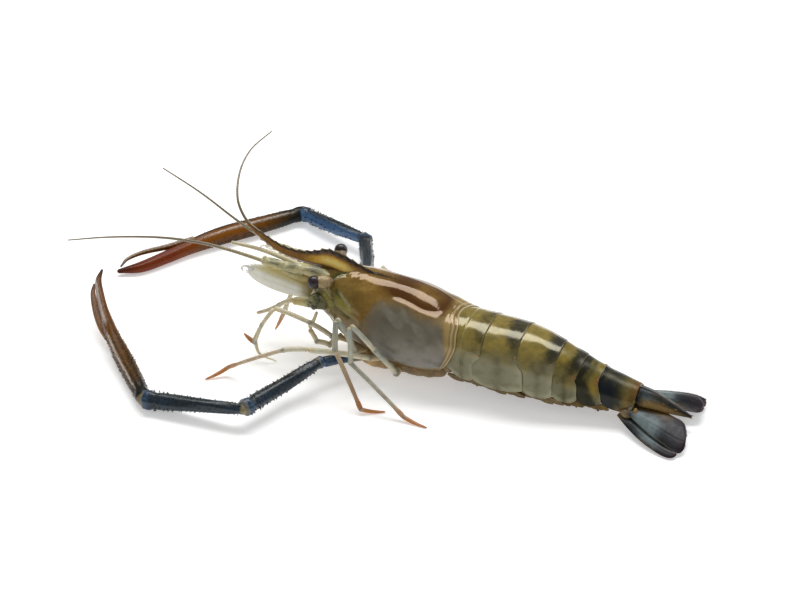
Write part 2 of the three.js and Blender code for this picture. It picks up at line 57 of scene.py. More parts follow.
def ease(low, high, value):
    t = np.clip((value - low) / (high - low), 0, 1)
    return t * t * (3 - 2 * t)


def hump(value, centre, width):
    return np.exp(-(((value - centre) / width) ** 2))


def power(value, exponent):
    return np.sign(value) * np.abs(value) ** exponent


def through(xs, ys, x):  # smooth curve through stations
    xs, ys, x = np.asarray(xs, float), np.asarray(ys, float), np.asarray(x, float)
    last = len(xs) - 1
    k = np.arange(len(xs))
    low, high = np.maximum(k - 1, 0), np.minimum(k + 1, last)
    slope = (ys[high] - ys[low]) / (xs[high] - xs[low])
    i = np.clip(np.searchsorted(xs, x) - 1, 0, last - 1)
    span = xs[i + 1] - xs[i]
    t = np.clip((x - xs[i]) / span, 0, 1)
    a = (2 * t**3 - 3 * t**2 + 1) * ys[i] + (t**3 - 2 * t**2 + t) * span * slope[i]
    return a + (3 * t**2 - 2 * t**3) * ys[i + 1] + (t**3 - t**2) * span * slope[i + 1]


def wander(points, size, seed, count=9):  # smooth unevenness from crossed waves, about -1 to 1
    waves = np.random.default_rng(seed)
    turn = unit(waves.normal(size=(count, 3))) * (2 * pi / size) * waves.uniform(0.6, 1.6, (count, 1))
    return np.sin(points @ turn.T + waves.uniform(0, 2 * pi, count)).sum(-1) / 3.5


def resample(stops, count):  # even points and radii on a smooth curve through (point, radius) stops
    points = np.array([p for p, _ in stops], float)
    radii = np.array([r for _, r in stops], float)
    far = np.r_[0, np.cumsum(np.linalg.norm(np.diff(points, axis=0), axis=1))]
    at = np.linspace(0, far[-1], count)
    path = np.stack([through(far, points[:, k], at) for k in range(3)], 1)
    return path, through(far, radii, at)


# Mesh building: a shape gathers surfaces, with a value for each mask at each point

class Shape:
    def __init__(self):
        self.points, self.faces, self.masks, self.size = [], [], [], 0

    def add(self, points, faces, **masks):
        points = np.asarray(points, float).reshape(-1, 3)
        self.faces += [tuple(k + self.size for k in face) for face in faces]
        self.points.append(points)
        self.masks.append((len(points), masks))
        self.size += len(points)


def gridFaces(rows, cols, wrap=True):
    faces = []
    for r in range(rows - 1):
        for c in range(cols if wrap else cols - 1):
            d = (c + 1) % cols
            faces.append((r * cols + c, r * cols + d, (r + 1) * cols + d, (r + 1) * cols + c))
    return faces


def closedGrid(shape, points, **masks):  # rings joined into a skin with both ends shut
    rows, cols = points.shape[:2]
    faces = gridFaces(rows, cols)
    faces += [tuple(range(cols)), tuple(range((rows - 1) * cols, rows * cols))]
    values = {k: np.broadcast_to(m, (rows, cols)).ravel() for k, m in masks.items()}
    shape.add(points, faces, **values)


def tube(shape, path, radii, sides=16, flat=1.0, up=(0, 0, 1), ends=(1, 1), relief=None, **masks):
    path, radii = np.asarray(path, float), np.asarray(radii, float)
    heading = unit(np.gradient(path, axis=0))
    up = np.asarray(up, float)
    if abs(heading[len(path) // 2] @ up) > 0.92:  # the path runs nearly straight up
        up = np.array((1.0, 0, 0))
    across = unit(np.cross(up, heading))
    rise = np.cross(heading, across)
    bend = np.linspace(0, pi / 2 * 0.96, 6)[1:]  # rounded ends
    n = len(bend)

    def cap(k, sign, length):
        away = (sign * radii[k] * length * np.sin(bend))[:, None] * heading[k]
        return path[k] + away, radii[k] * np.cos(bend)

    (a, ra), (b, rb) = cap(0, -1, ends[0]), cap(-1, 1, ends[1])
    centre = np.vstack([a[::-1], path, b])
    radius = np.r_[ra[::-1], radii, rb][:, None]
    longer = lambda v: np.vstack([np.repeat(v[:1], n, 0), v, np.repeat(v[-1:], n, 0)])
    turn = np.linspace(0, 2 * pi, sides, endpoint=False)[None, :]
    along = np.r_[np.zeros(n), np.linspace(0, 1, len(path)), np.ones(n)][:, None]
    if relief:
        radius = radius + relief(along, turn) * np.minimum(1, radius / radii.max() * 1.5)
    side = longer(across)[:, None] * (np.cos(turn) * radius)[..., None]
    top = longer(rise)[:, None] * (np.sin(turn) * radius * flat)[..., None]
    values = {k: m(along, turn) if callable(m) else m for k, m in masks.items()}
    closedGrid(shape, centre[:, None] + side + top, **values)


def ball(shape, centre, radii, rows=12, cols=18, axis=(0, 0, 1), **masks):
    w = unit(axis)
    u = unit(np.cross(w, askew))
    v = np.cross(w, u)
    pole = 0.06  # angle of the small flat at each pole
    tilt = np.linspace(pole, pi - pole, rows)[:, None, None]
    turn = np.linspace(0, 2 * pi, cols, endpoint=False)[None, :, None]
    girth = np.cos(turn) * u * radii[0] + np.sin(turn) * v * radii[1]
    points = np.sin(tilt) * girth + np.cos(tilt) * w * radii[2]
    closedGrid(shape, np.asarray(centre, float) + points, **masks)


def spikes(shape, base, direction, radius, length, sides, **masks):  # many small cones
    base, direction = np.asarray(base, float), unit(direction)
    count = len(base)
    if not count:
        return
    radius = np.broadcast_to(radius, count)[:, None, None]
    length = np.broadcast_to(length, count)[:, None]
    u = unit(np.cross(direction, askew))
    v = np.cross(direction, u)
    turn = np.linspace(0, 2 * pi, sides, endpoint=False)[None, :, None]
    ring = base[:, None] + radius * (np.cos(turn) * u[:, None] + np.sin(turn) * v[:, None])
    points = np.concatenate([ring, (base + direction * length)[:, None]], 1)
    faces = []
    for k in range(count):
        s = k * (sides + 1)
        faces += [(s + j, s + (j + 1) % sides, s + sides) for j in range(sides)]
    values = {k: np.broadcast_to(np.asarray(m, float), count).repeat(sides + 1) for k, m in masks.items()}
    shape.add(points, faces, **values)


def place(name, shape, material, nodes):
    mesh = bpy.data.meshes.new(name)
    points = np.vstack(shape.points)
    points[:, 2] = np.maximum(points[:, 2], restHeight)
    points = (points + origin) * mm
    mesh.from_pydata(points.tolist(), [], shape.faces)
    for mask in sorted({k for _, m in shape.masks for k in m}):
        values = [np.broadcast_to(np.asarray(m.get(mask, 0.0), np.float32), n) for n, m in shape.masks]
        mesh.attributes.new(mask, "FLOAT", "POINT").data.foreach_set("value", np.concatenate(values))
    work = bmesh.new()
    work.from_mesh(mesh)
    bmesh.ops.recalc_face_normals(work, faces=work.faces)
    work.to_mesh(mesh)
    work.free()
    mesh.shade_smooth()
    mesh.materials.append(material)
    piece = bpy.data.objects.new(name, mesh)
    bpy.context.collection.objects.link(piece)
    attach(piece, "root")
    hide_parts(*nodes)


# Shader groups

def colour(code):  # hex code to linear light
    parts = [int(code[k:k + 2], 16) / 255 for k in (0, 2, 4)]
    return [v / 12.92 if v <= 0.04045 else ((v + 0.055) / 1.055) ** 2.4 for v in parts] + [1.0]


def makeNode(tree, kind, inputs=(), **settings):
    node = tree.nodes.new(kind)
    for key, value in settings.items():
        setattr(node, key, value)
    for key, value in dict(inputs).items():
        if isinstance(value, bpy.types.NodeSocket):
            tree.links.new(value, node.inputs[key])
        else:
            node.inputs[key].default_value = value
    return node


def newGroup(name, inputs, outputs):
    tree = bpy.data.node_groups.new(name, "ShaderNodeTree")
    for label, kind in inputs:
        tree.interface.new_socket(label, in_out="INPUT", socket_type=kind)
    for label, kind in outputs:
        tree.interface.new_socket(label, in_out="OUTPUT", socket_type=kind)
    return tree, tree.nodes.new("NodeGroupInput").outputs, tree.nodes.new("NodeGroupOutput").inputs


def millimetres(tree):  # the part's own coordinates, in millimetres
    spot = makeNode(tree, "ShaderNodeTexCoord").outputs["Object"]
    scaled = makeNode(tree, "ShaderNodeVectorMath", {0: spot, 1: (1 / mm,) * 3}, operation="MULTIPLY")
    return scaled.outputs[0]


def mathNode(tree, operation, a, b, **more):
    return makeNode(tree, "ShaderNodeMath", {0: a, 1: b}, operation=operation, **more).outputs[0]


def mixColour(tree, amount, a, b):
    node = makeNode(tree, "ShaderNodeMix", data_type="RGBA")
    for socket, value in ((node.inputs[0], amount), (node.inputs[6], a), (node.inputs[7], b)):
        if isinstance(value, bpy.types.NodeSocket):
            tree.links.new(value, socket)
        else:
            socket.default_value = value
    return node.outputs[2]


colourType, valueType, normalType = "NodeSocketColor", "NodeSocketFloat", "NodeSocketVector"


def makeMottle():  # blotches of a second colour
    tree, got, out = newGroup(
        "Mottle",
        [("Color", colourType), ("Tint", colourType), ("Size", valueType), ("Amount", valueType)],
        [("Color", colourType)])
    size = mathNode(tree, "DIVIDE", 1.0, got["Size"])
    cloud = makeNode(tree, "ShaderNodeTexNoise", {"Vector": millimetres(tree), "Scale": size, "Detail": 5.0,
                                                  "Roughness": 0.6, "Distortion": 0.6})
    spread = makeNode(tree, "ShaderNodeMapRange", {0: cloud.outputs[0], 1: 0.38, 2: 0.68},
                      interpolation_type="SMOOTHSTEP")
    amount = mathNode(tree, "MULTIPLY", spread.outputs[0], got["Amount"])
    tree.links.new(mixColour(tree, amount, got["Color"], got["Tint"]), out["Color"])
    return tree


def makeLayer():  # a painted area whose edge is broken up by noise
    tree, got, out = newGroup(
        "Layer",
        [("Color", colourType), ("Paint", colourType), ("Mask", valueType), ("Ragged", valueType),
         ("Size", valueType)],
        [("Color", colourType)])
    size = mathNode(tree, "DIVIDE", 1.0, got["Size"])
    cloud = makeNode(tree, "ShaderNodeTexNoise", {"Vector": millimetres(tree), "Scale": size, "Detail": 4.0,
                                                  "Distortion": 0.4})
    rest = mathNode(tree, "SUBTRACT", 1.0, got["Mask"])
    # strongest where the mask is half, nothing where it is full or empty
    edge = mathNode(tree, "MULTIPLY", mathNode(tree, "MULTIPLY", got["Mask"], rest), 6.0)
    specks = mathNode(tree, "SUBTRACT", cloud.outputs[0], 0.5)
    shift = mathNode(tree, "MULTIPLY", specks, mathNode(tree, "MULTIPLY", edge, got["Ragged"]))
    mask = mathNode(tree, "ADD", got["Mask"], shift, use_clamp=True)
    tree.links.new(mixColour(tree, mask, got["Color"], got["Paint"]), out["Color"])
    return tree


def makeSkin():  # fine relief of a wet shell: soft dents with small pits over them
    tree, got, out = newGroup(
        "Skin relief",
        [("Size", valueType), ("Dents", valueType), ("Pits", valueType)],
        [("Normal", normalType), ("Uneven", valueType)])
    where = millimetres(tree)
    size = mathNode(tree, "DIVIDE", 1.0, got["Size"])
    fine = mathNode(tree, "MULTIPLY", size, 6.0)
    dents = makeNode(tree, "ShaderNodeTexNoise", {"Vector": where, "Scale": size, "Detail": 3.0}).outputs[0]
    pits = makeNode(tree, "ShaderNodeTexVoronoi", {"Vector": where, "Scale": fine}).outputs[0]
    low = makeNode(tree, "ShaderNodeBump", {"Strength": got["Dents"], "Distance": 0.0004, "Height": dents})
    high = makeNode(tree, "ShaderNodeBump", {"Strength": got["Pits"], "Distance": 0.00008, "Height": pits,
                                             "Normal": low.outputs[0]})
    tree.links.new(high.outputs[0], out["Normal"])
    tree.links.new(dents, out["Uneven"])
    return tree


groups = {"mottle": makeMottle(), "layer": makeLayer(), "skin": makeSkin()}
plainLook = {  # what a look below leaves out
    "layers": (), "dull": None, "grain": 3.0, "dents": 0.15, "pits": 0.1, "shine": 0.5, "glint": "ffffff",
    "coat": 0.0, "coatRough": 0.08, "flesh": 0.0, "fleshDepth": (1.0, 0.7, 0.4), "fleshScale": 0.002,
}


def useGroup(tree, name, **inputs):
    return makeNode(tree, "ShaderNodeGroup", inputs, node_tree=groups[name])


def readMask(tree, mask):
    return makeNode(tree, "ShaderNodeAttribute", attribute_name=mask).outputs["Fac"]


# A look: base colour, mottle rows of (tint, size, amount), layer rows of (mask, colour, ragged, size)
def paint(name, look):
    look = {**plainLook, **look}
    material = bpy.data.materials.new(name)
    material.use_nodes = True
    tree = material.node_tree
    shader = tree.nodes["Principled BSDF"]
    tone = colour(look["base"])
    for tint, size, amount in look["mottle"]:
        blotches = useGroup(tree, "mottle", Color=tone, Tint=colour(tint), Size=size, Amount=amount)
        tone = blotches.outputs["Color"]
    for mask, code, ragged, size in look["layers"]:
        area = useGroup(tree, "layer", Color=tone, Paint=colour(code), Mask=readMask(tree, mask),
                        Ragged=ragged, Size=size)
        tone = area.outputs["Color"]
    skin = useGroup(tree, "skin", Size=look["grain"], Dents=look["dents"], Pits=look["pits"])
    spread = {0: skin.outputs["Uneven"], 1: 0.3, 2: 0.7, 3: look["rough"] * 0.8, 4: look["rough"] * 1.25}
    rough = makeNode(tree, "ShaderNodeMapRange", spread).outputs[0]
    if look["dull"]:  # an area with less of the wet gloss
        mask, amount = look["dull"]
        added = {0: readMask(tree, mask), 1: amount, 2: rough}
        rough = makeNode(tree, "ShaderNodeMath", added, operation="MULTIPLY_ADD").outputs[0]
    for socket, value in (("Base Color", tone), ("Normal", skin.outputs["Normal"]), ("Roughness", rough)):
        tree.links.new(value, shader.inputs[socket])
    shader.inputs["Specular IOR Level"].default_value = look["shine"]
    shader.inputs["Specular Tint"].default_value = colour(look["glint"])
    shader.inputs["Coat Weight"].default_value = look["coat"]
    shader.inputs["Coat Roughness"].default_value = look["coatRough"]
    shader.inputs["Subsurface Weight"].default_value = look["flesh"]
    shader.inputs["Subsurface Radius"].default_value = look["fleshDepth"]
    shader.inputs["Subsurface Scale"].default_value = look["fleshScale"]
    return material


# Head shield

carapace = {
    # sections from the front edge to the rear edge
    "x": (-64, -57, -49, -39, -28, -15, -4, 6),
    "half": (8.0, 11.5, 14.3, 16.7, 18.0, 18.3, 17.6, 16.8),
    "top": (43.0, 44.0, 44.2, 44.0, 43.4, 41.2, 37.7, 33.6),
    "waist": (34, 32, 29, 27, 25, 24, 23.5, 23),
    "bottom": (26.0, 21.0, 15.6, 11.8, 9.4, 7.8, 7.8, 9.0),
    "peak": (1.3, 1.3, 1.2, 1.15, 1.1, 1.05, 1, 1),
    "corner": (0.6, 0.6, 0.5, 0.45, 0.4, 0.4, 0.4, 0.4),
    "rows": 170, "cols": 200,
    "rearRim": 0.2, "lowerRim": 0.2, "orbit": 3.6, "edgeFade": 16,
    "gillBulge": (1.2, 0.15),  # height on the left side, share of it on the right side
    # marks on the cheek, each a run of (x, z): dark green furrows, pale ridges, yellow-green patches,
    # a low swelling
    "green": (((-57, 35.6), (-55, 33), (-52.4, 30.6)), ((-52.4, 37.4), (-49.6, 35.6), (-46.4, 32.8)),
              ((-56, 40), (-54, 42.4), (-50, 43.4))),
    # the pale strokes raise low ridges, and their pale paint is partly a painted highlight
    "pale": (((-58.2, 36.2), (-55.1, 34.0)), ((-49.4, 36.9), (-43.8, 33.5)),
             ((-56.2, 36.8), (-55.4, 40.4), (-51.6, 42.4))),
    "lime": (((-49.6, 33.6), (-44.8, 31.6)), ((-57.6, 33.4), (-54.6, 31.0))),
    "swell": (((-44, 39.6), (-35, 40.1)),),
    # outline of the grey gill cover seen through the shell: z over x, then x over z twice
    "gillTop": ((-37, -34, -31.9, -27.6, -23, -17.3, -11.2, -5.4, -0.3, 3),
                (29, 35.2, 37.9, 39, 38.9, 37.8, 36.1, 34.7, 33.5, 30)),
    "gillRear": ((8, 10, 15, 21, 27, 30.6, 33.5), (-3, -0.5, 3.0, 4.2, 3.0, 1.8, -0.3)),
    "gillFront": ((8, 14, 24.4, 32, 36), (-27, -32.5, -36.5, -35.6, -33)),
    # antennal and hepatic spines of the right side: root, direction, radius, length
    "spines": (((-61.5, 9.6, 31.5), (-1, 0.25, 0.02), 0.9, 4.0),
               ((-53.5, 13.0, 33.2), (-1, 0.45, 0.1), 0.7, 2.6)),
    "look": {
        "base": "8c6c2e", "rough": 0.08, "shine": 0.6, "glint": "ffe2c6", "flesh": 0.1,
        "grain": 5.0, "dents": 0.16, "pits": 0.04, "dull": ("side", 0.55),
        "mottle": [("5a3c0c", 11.0, 0.65), ("a38543", 5.0, 0.4), ("4a3612", 1.8, 0.25)],
        "layers": [
            ("deep", "512f06", 0.6, 4.0), ("cheek", "6f6430", 0.8, 3.0), ("green", "3c4a1f", 0.7, 1.2),
            ("lime", "98903f", 0.7, 1.6), ("veil", "7c7160", 0.6, 5.0), ("side", "6c685a", 0.5, 3.0),
            ("sideLow", "8b8a85", 0.4, 6.0), ("dusk", "565344", 0.6, 4.0), ("gill", "57554b", 0.9, 3.0),
            ("mist", "918e80", 0.9, 4.0), ("tan", "a8915e", 0.6, 2.0), ("groove", "54442a", 0.5, 1.0),
            ("rim", "bfb088", 0.4, 1.0), ("pale", "c9c3a2", 0.5, 0.8), ("ridge", "1c130a", 0.9, 0.9),
        ],
    },
}


def bodyRings(body, x, turn):
    keys = ("half", "top", "waist", "bottom", "peak", "corner")
    s = {k: through(body["x"], body[k], x)[:, None] for k in keys}
    out, up = np.sin(turn)[None, :], np.cos(turn)[None, :]
    z = s["waist"] + np.where(up > 0, (s["top"] - s["waist"]) * np.maximum(up, 0) ** s["peak"],
                              -(s["waist"] - s["bottom"]) * np.maximum(-up, 0) ** s["corner"])
    y = s["half"] * np.where(up > 0, out, power(out, s["corner"]))
    return y, z, s


def strokes(lines, x, z, width):  # soft marks along runs of points
    near = np.full(np.broadcast(x, z).shape, 1e9)
    for line in lines:
        for (ax, az), (bx, bz) in zip(line[:-1], line[1:]):
            dx, dz = bx - ax, bz - az
            t = np.clip(((x - ax) * dx + (z - az) * dz) / (dx * dx + dz * dz), 0, 1)
            near = np.minimum(near, np.hypot(x - ax - t * dx, z - az - t * dz))
    return hump(near, 0, width)


def makeCarapace():
    c = carapace
    front, back = c["x"][0], c["x"][-1]
    q = np.linspace(0, 1, c["rows"])
    q = 0.55 * q + 0.45 * (0.5 - 0.5 * np.cos(pi * q))  # rows are closer at both ends
    station = front + (back - front) * q
    turn = np.linspace(-pi, pi, c["cols"], endpoint=False)
    y, z, s = bodyRings(c, station, turn)
    x = np.repeat(station[:, None], c["cols"], 1)
    fromRear = back - x
    nearFront = np.maximum(0, 1 - (x - front) / c["edgeFade"])
    nearRear = np.maximum(0, 1 - fromRear / c["edgeFade"])
    low = np.maximum(0, 24 - z) / 15
    edge = 1.4 * hump(z, 26, 4) - 3.2 * ease(31.5, 35, z) - 8 * low**2  # bows back at mid height
    sx = x + nearFront * c["orbit"] * hump(z, 38, 5) + nearRear * edge
    points = np.stack([sx, y, z], -1)
    normal = unit(np.cross(np.gradient(points, axis=1), np.gradient(points, axis=0)))
    outward = np.sign((normal[..., 1:] * np.stack([y, z - s["waist"]], -1)).sum(-1, keepdims=True))
    normal = normal * np.where(outward == 0, 1, outward)

    # rims and furrows along the edges
    over = z - s["bottom"]
    flank = (np.abs(turn)[None, :] < 0.8 * pi) * (np.abs(turn)[None, :] > 0.35 * pi)
    rimRear = 0.75 * hump(fromRear, 0.3, 0.28) + 0.6 * hump(fromRear, 2.0, 0.26)
    grooveRear = 0.6 * hump(fromRear, 1.0, 0.4) + 0.5 * hump(fromRear, 2.7, 0.35)
    rimLow = hump(over, 1.3, 0.7) * flank
    grooveLow = hump(over, 3.0, 0.7) * flank

    # gill cover
    underGill = through(*c["gillTop"], sx) - z
    side = (ease(-1.4, 3.6, underGill) * ease(-0.6, 2.4, through(*c["gillRear"], z) - sx)
            * ease(-5.5, 7.0, sx - through(*c["gillFront"], z)) * ease(1.4, 4.0, over))
    height, farShare = c["gillBulge"]
    bulge = (height * np.where(y < 0, 1, farShare) * ease(-1.8, 0.4, underGill) * ease(-31, -20, sx)
             * ease(7, 29, z) * ease(3.5, 10, fromRear))

    # cheek
    green = strokes(c["green"], sx, z, 0.9)
    pale = strokes(c["pale"], sx, z, 0.45)
    dimple = 0.4 * strokes(c["swell"], sx, z, 1.2) + 0.2 * pale - 0.3 * green
    wrinkle = wander(points, 3.6, 3) * ease(-36, -54, sx) * 0.16 + wander(points, 16.0, 4) * 0.12
    crease = hump(z - (31 - 0.35 * (sx + 52)), 0, 1.2) * ease(-58, -54, sx) * ease(-36, -44, sx)
    lift = (c["rearRim"] * (rimRear - grooveRear) + c["lowerRim"] * (rimLow - grooveLow) + wrinkle
            - 0.35 * crease + bulge + dimple)
    points = points + normal * lift[..., None]

    # a pale line along the far side of the back is a painted rim highlight
    paintedRimLine = 0.7 * hump(y, 7, 0.35) * ease(-20, -12, sx) * (z > s["waist"])
    # darker brown paint in a band just above the gill cover's upper edge
    gillEdgeBand = hump(underGill, -2.0, 1.8) * ease(-34, -22, sx) * ease(2, -3, sx)
    brow = 0.6 * hump(z, 42.6, 1.6) * ease(-38, -30, sx) * ease(-12, -20, sx)
    rearTan = ease(9, 4, fromRear) * (1 - side) * ease(37, 32, z) * 0.85
    lowTan = hump(over, 0, 4) * flank * (1 - side) * 0.6
    masks = {
        "side": side,
        "sideLow": side * ease(30, 13, z) * 0.9,
        "dusk": 0.45 * side * ease(3, -2, np.abs(underGill - 5)) * ease(-20, -8, sx),
        "gill": 0.5 * side * ease(-0.1, 0.9, wander(points, 6.0, 9)),
        "mist": 0.4 * side * ease(-0.1, 0.9, wander(points, 8.0, 10)),
        "cheek": ease(-36, -50, sx) * hump(z, 31, 8),
        "green": np.clip(green + crease * 0.5, 0, 1),
        "pale": np.clip(pale * 0.4 + paintedRimLine, 0, 1),
        "lime": strokes(c["lime"], sx, z, 2.0) * 0.9,
        "veil": ease(29, 20, z) * ease(-30, -40, sx) * (1 - side),
        "groove": np.clip(grooveRear + 0.5 * grooveLow, 0, 1),
        "rim": np.clip(rimRear + 0.9 * rimLow * ease(-46, -30, sx), 0, 1),
        "deep": np.clip(gillEdgeBand + brow, 0, 1),
        "tan": np.clip(rearTan + lowTan, 0, 1),
        "ridge": hump(y, 0, 1.3) * ease(-20, -36, sx),
    }

    def inside(ring, scale, move):  # both edges turn in
        return ((ring - ring.mean(0)) * scale + ring.mean(0) + np.array((move, 0, 0)))[None]

    rings = np.concatenate([inside(points[0], 0.9, 5), inside(points[0], 0.955, 0.4), points,
                            inside(points[-1], 0.955, -0.3), inside(points[-1], 0.92, -4)])
    masks = {k: np.concatenate([m[:1], m[:1], m, m[-1:], m[-1:]]) for k, m in masks.items()}
    shape = Shape()
    closedGrid(shape, rings, **masks)
    root, aim, radius, length = (np.array(v, float) for v in zip(*c["spines"]))
    for sign in (-1, 1):
        spikes(shape, root * (1, sign, 1), aim * (1, sign, 1), radius, length, sides=9, cheek=0.6, rim=0.3)
    return shape


# Rostrum: the toothed blade that rises from the head shield

rostrum = {
    "upper": ((-33, 42.9), (-40, 44.9), (-46, 47.0), (-50, 48.7), (-54, 50.2), (-61, 51.1), (-67, 48.9),
              (-75, 47.1), (-84, 48.0), (-93, 52.0), (-101.5, 56.6)),
    "lower": ((-34, 36), (-50, 38.5), (-66, 40.2), (-76, 41.8), (-84, 43.6), (-91, 47.0), (-97, 51.2),
              (-101.5, 56.2)),
    "half": ((-102, 0.25), (-96, 0.8), (-86, 1.5), (-72, 2.0), (-60, 2.6), (-48, 3.2), (-34, 2.0)),
    "upperTeeth": (15, -38, -95.0, 0.9), "lowerTeeth": (9, -70, -98.0, 0.9),  # count, from, to, height
    "root": -34, "tip": -101.4, "widest": 0.42, "rows": 420, "steps": 26,
    "look": {
        "base": "976a2c", "rough": 0.3, "grain": 2.5, "dents": 0.12, "pits": 0.12, "flesh": 0.1,
        "mottle": [("5e3f14", 6.0, 0.5), ("a57a35", 3.0, 0.4)],
        "layers": [
            # the pale yellow patch on the crest is a painted highlight
            ("under", "8a6a36", 0.4, 3.0), ("gold", "e2b23c", 0.6, 3.0), ("glow", "f8e084", 0.6, 2.0),
            ("line", "4a3618", 0.5, 2.0), ("edge", "231a0d", 0.5, 1.0), ("tooth", "a08c60", 0.3, 1.0),
        ],
    },
}


def makeRostrum():
    r = rostrum
    x = np.linspace(r["root"], r["tip"], r["rows"])
    curve = lambda key: through(*zip(*sorted(r[key])), x)
    top, low, half = curve("upper"), curve("lower"), curve("half")

    def saw(teeth, start, end, height):
        q = (x - start) / (end - start) * teeth
        inside = (q > 0) * (q < teeth)
        q = q % 1
        return inside * height * np.where(q < 0.8, (q / 0.8) ** 1.6, 1 - (q - 0.8) / 0.2)

    up, down = saw(*r["upperTeeth"]), saw(*r["lowerTeeth"])
    scale = ease(r["tip"], -97, x) * 0.6 + 0.4
    n, widest = r["steps"], r["widest"]
    # up one flank and down the other
    rise = np.r_[np.linspace(0, 1, n), np.linspace(1, 0, n)[1:-1]][None, :]
    flank = np.r_[np.ones(n), -np.ones(n - 2)][None, :]
    width = np.where(rise < widest, (rise / widest) ** 0.7, np.clip((1 - rise) / (1 - widest), 0, 1) ** 1.15)
    width = width * (1 + 0.12 * hump(rise, widest, 0.05)) + 0.06
    z = low[:, None] + (top - low)[:, None] * rise
    z = z + (up * scale)[:, None] * ease(0.8, 1, rise) - (down * scale)[:, None] * ease(0.22, 0, rise)
    xs = x[:, None]
    points = np.stack([np.repeat(xs, rise.shape[1], 1), flank * half[:, None] * width, z], -1)
    gold = ease(-74, -63, xs) * ease(-44, -55, xs) * ease(0.36, 0.5, rise) * ease(0.82, 0.7, rise)
    toothTip = (up / r["upperTeeth"][3])[:, None] * ease(0.93, 1, rise)
    shape = Shape()
    # the bright yellow patch on the crest is a painted highlight
    closedGrid(shape, points, gold=gold, glow=gold * hump(rise, 0.6, 0.1) * ease(-66, -60, xs),
               under=ease(0.4, 0.2, rise), line=hump(rise, 0.4, 0.05) * 0.6,
               edge=np.clip(ease(0.78, 0.92, rise) - 0.6 * toothTip, 0, 1), tooth=ease(0.3, 0.8, toothTip))
    return shape


print("head shield")
carapacePaint = paint("carapacePaint", carapace["look"])
rostrumPaint = paint("rostrumPaint", rostrum["look"])
place("carapaceShell", makeCarapace(), carapacePaint, ["carapace"])
place("rostrumBlade", makeRostrum(), rostrumPaint, ["carapace"])

# Chest under the shield, with the round roots of the legs

chest = {
    "x": (-65.5, -60, -54, -44, -28, -12, 5),
    "half": (6.0, 9.0, 7.8, 9.6, 13.4, 14.0, 12.6),
    "top": (38.5, 39.5, 30, 22, 18, 16, 16),
    "waist": (31, 29, 18, 12, 10, 9.5, 11),
    "bottom": (25.5, 20.5, 13.0, 7.0, 4.6, 4.4, 6.8),
    "peak": (0.8,) * 7,
    "corner": (0.85, 0.85, 0.85, 0.85, 0.8, 0.8, 0.8),
    "rows": 90, "cols": 64, "rib": 0.35, "ribEvery": 9,
    # roots of the right legs, the left ones are mirrored
    "roots": ((-47, 8.8, 11.2), (-38, 11.6, 8.8), (-31, 13.4, 7.6), (-25, 14.4, 6.8), (-19, 15.0, 6.4),
              (-13, 15.2, 6.3), (-7, 15.0, 6.8), (-1, 14.4, 8.0)),
    "rootRadius": 2.9,
    "swell": (3.4, -35.5, 8),  # the ridge is fullest where the claw and the front leg leave the chest
    "look": {
        "base": "7c6032", "rough": 0.38, "coat": 0.2, "flesh": 0.2, "grain": 2.0, "dents": 0.4, "pits": 0.2,
        "mottle": [("5c4222", 4.0, 0.7), ("b59a68", 2.2, 0.5)],
        "layers": [("face", "6e6a38", 0.8, 2.0), ("root", "98793e", 0.7, 2.0), ("fold", "55401c", 0.6, 1.5),
                   ("cream", "cba66a", 0.7, 1.5)],
    },
}


def makeChest():
    c = chest
    x = np.linspace(c["x"][0], c["x"][-1], c["rows"])
    turn = np.linspace(-pi, pi, c["cols"], endpoint=False)
    y, z, _ = bodyRings(c, x, turn)
    points = np.stack([np.repeat(x[:, None], c["cols"], 1), y, z], -1)
    under = ease(0.4, 0.7, np.abs(turn) / pi)[None, :]
    points[..., 2] -= c["rib"] * np.sin(x * 2 * pi / c["ribEvery"])[:, None] * under
    front = ease(-54, -60, x)[:, None]
    lumps = 0.35 * wander(points, 4.0, 12) * front
    points = points + lumps[..., None] * unit(np.stack([0 * y, y, z - c["waist"][0]], -1))
    shape = Shape()
    fold = hump((x % c["ribEvery"]) / c["ribEvery"], 0.5, 0.12)[:, None] * (1 - front)
    closedGrid(shape, points, fold=fold, face=front)
    height, middle, width = c["swell"]
    for sign in (-1, 1):  # lumpy ridge where the legs join
        stops = []
        for rx, ry, rz in c["roots"]:
            swell = height * hump(rx, middle, width)
            stops.append(((rx, sign * (ry - 3.0 + swell), rz + 0.4 - 0.6 * swell), c["rootRadius"]))
        tube(shape, *resample(stops, 140), sides=32, flat=1.2,
             relief=lambda a, t: 0.1 * np.sin(44 * a) + 0.08 * np.sin(71 * a + 2 * t),
             root=lambda a, t: 0.4 + 0.12 * np.sin(44 * a),
             cream=lambda a, t: hump(a, 0.28, 0.15) * (0.8 + 0.3 * np.sin(60 * a + 2 * t)),
             fold=lambda a, t: 0.35 + 0.15 * np.sin(29 * a))
    return shape


print("chest")
place("chestUnderside", makeChest(), paint("chestPaint", chest["look"]), ["thorax"])

# Tail rings

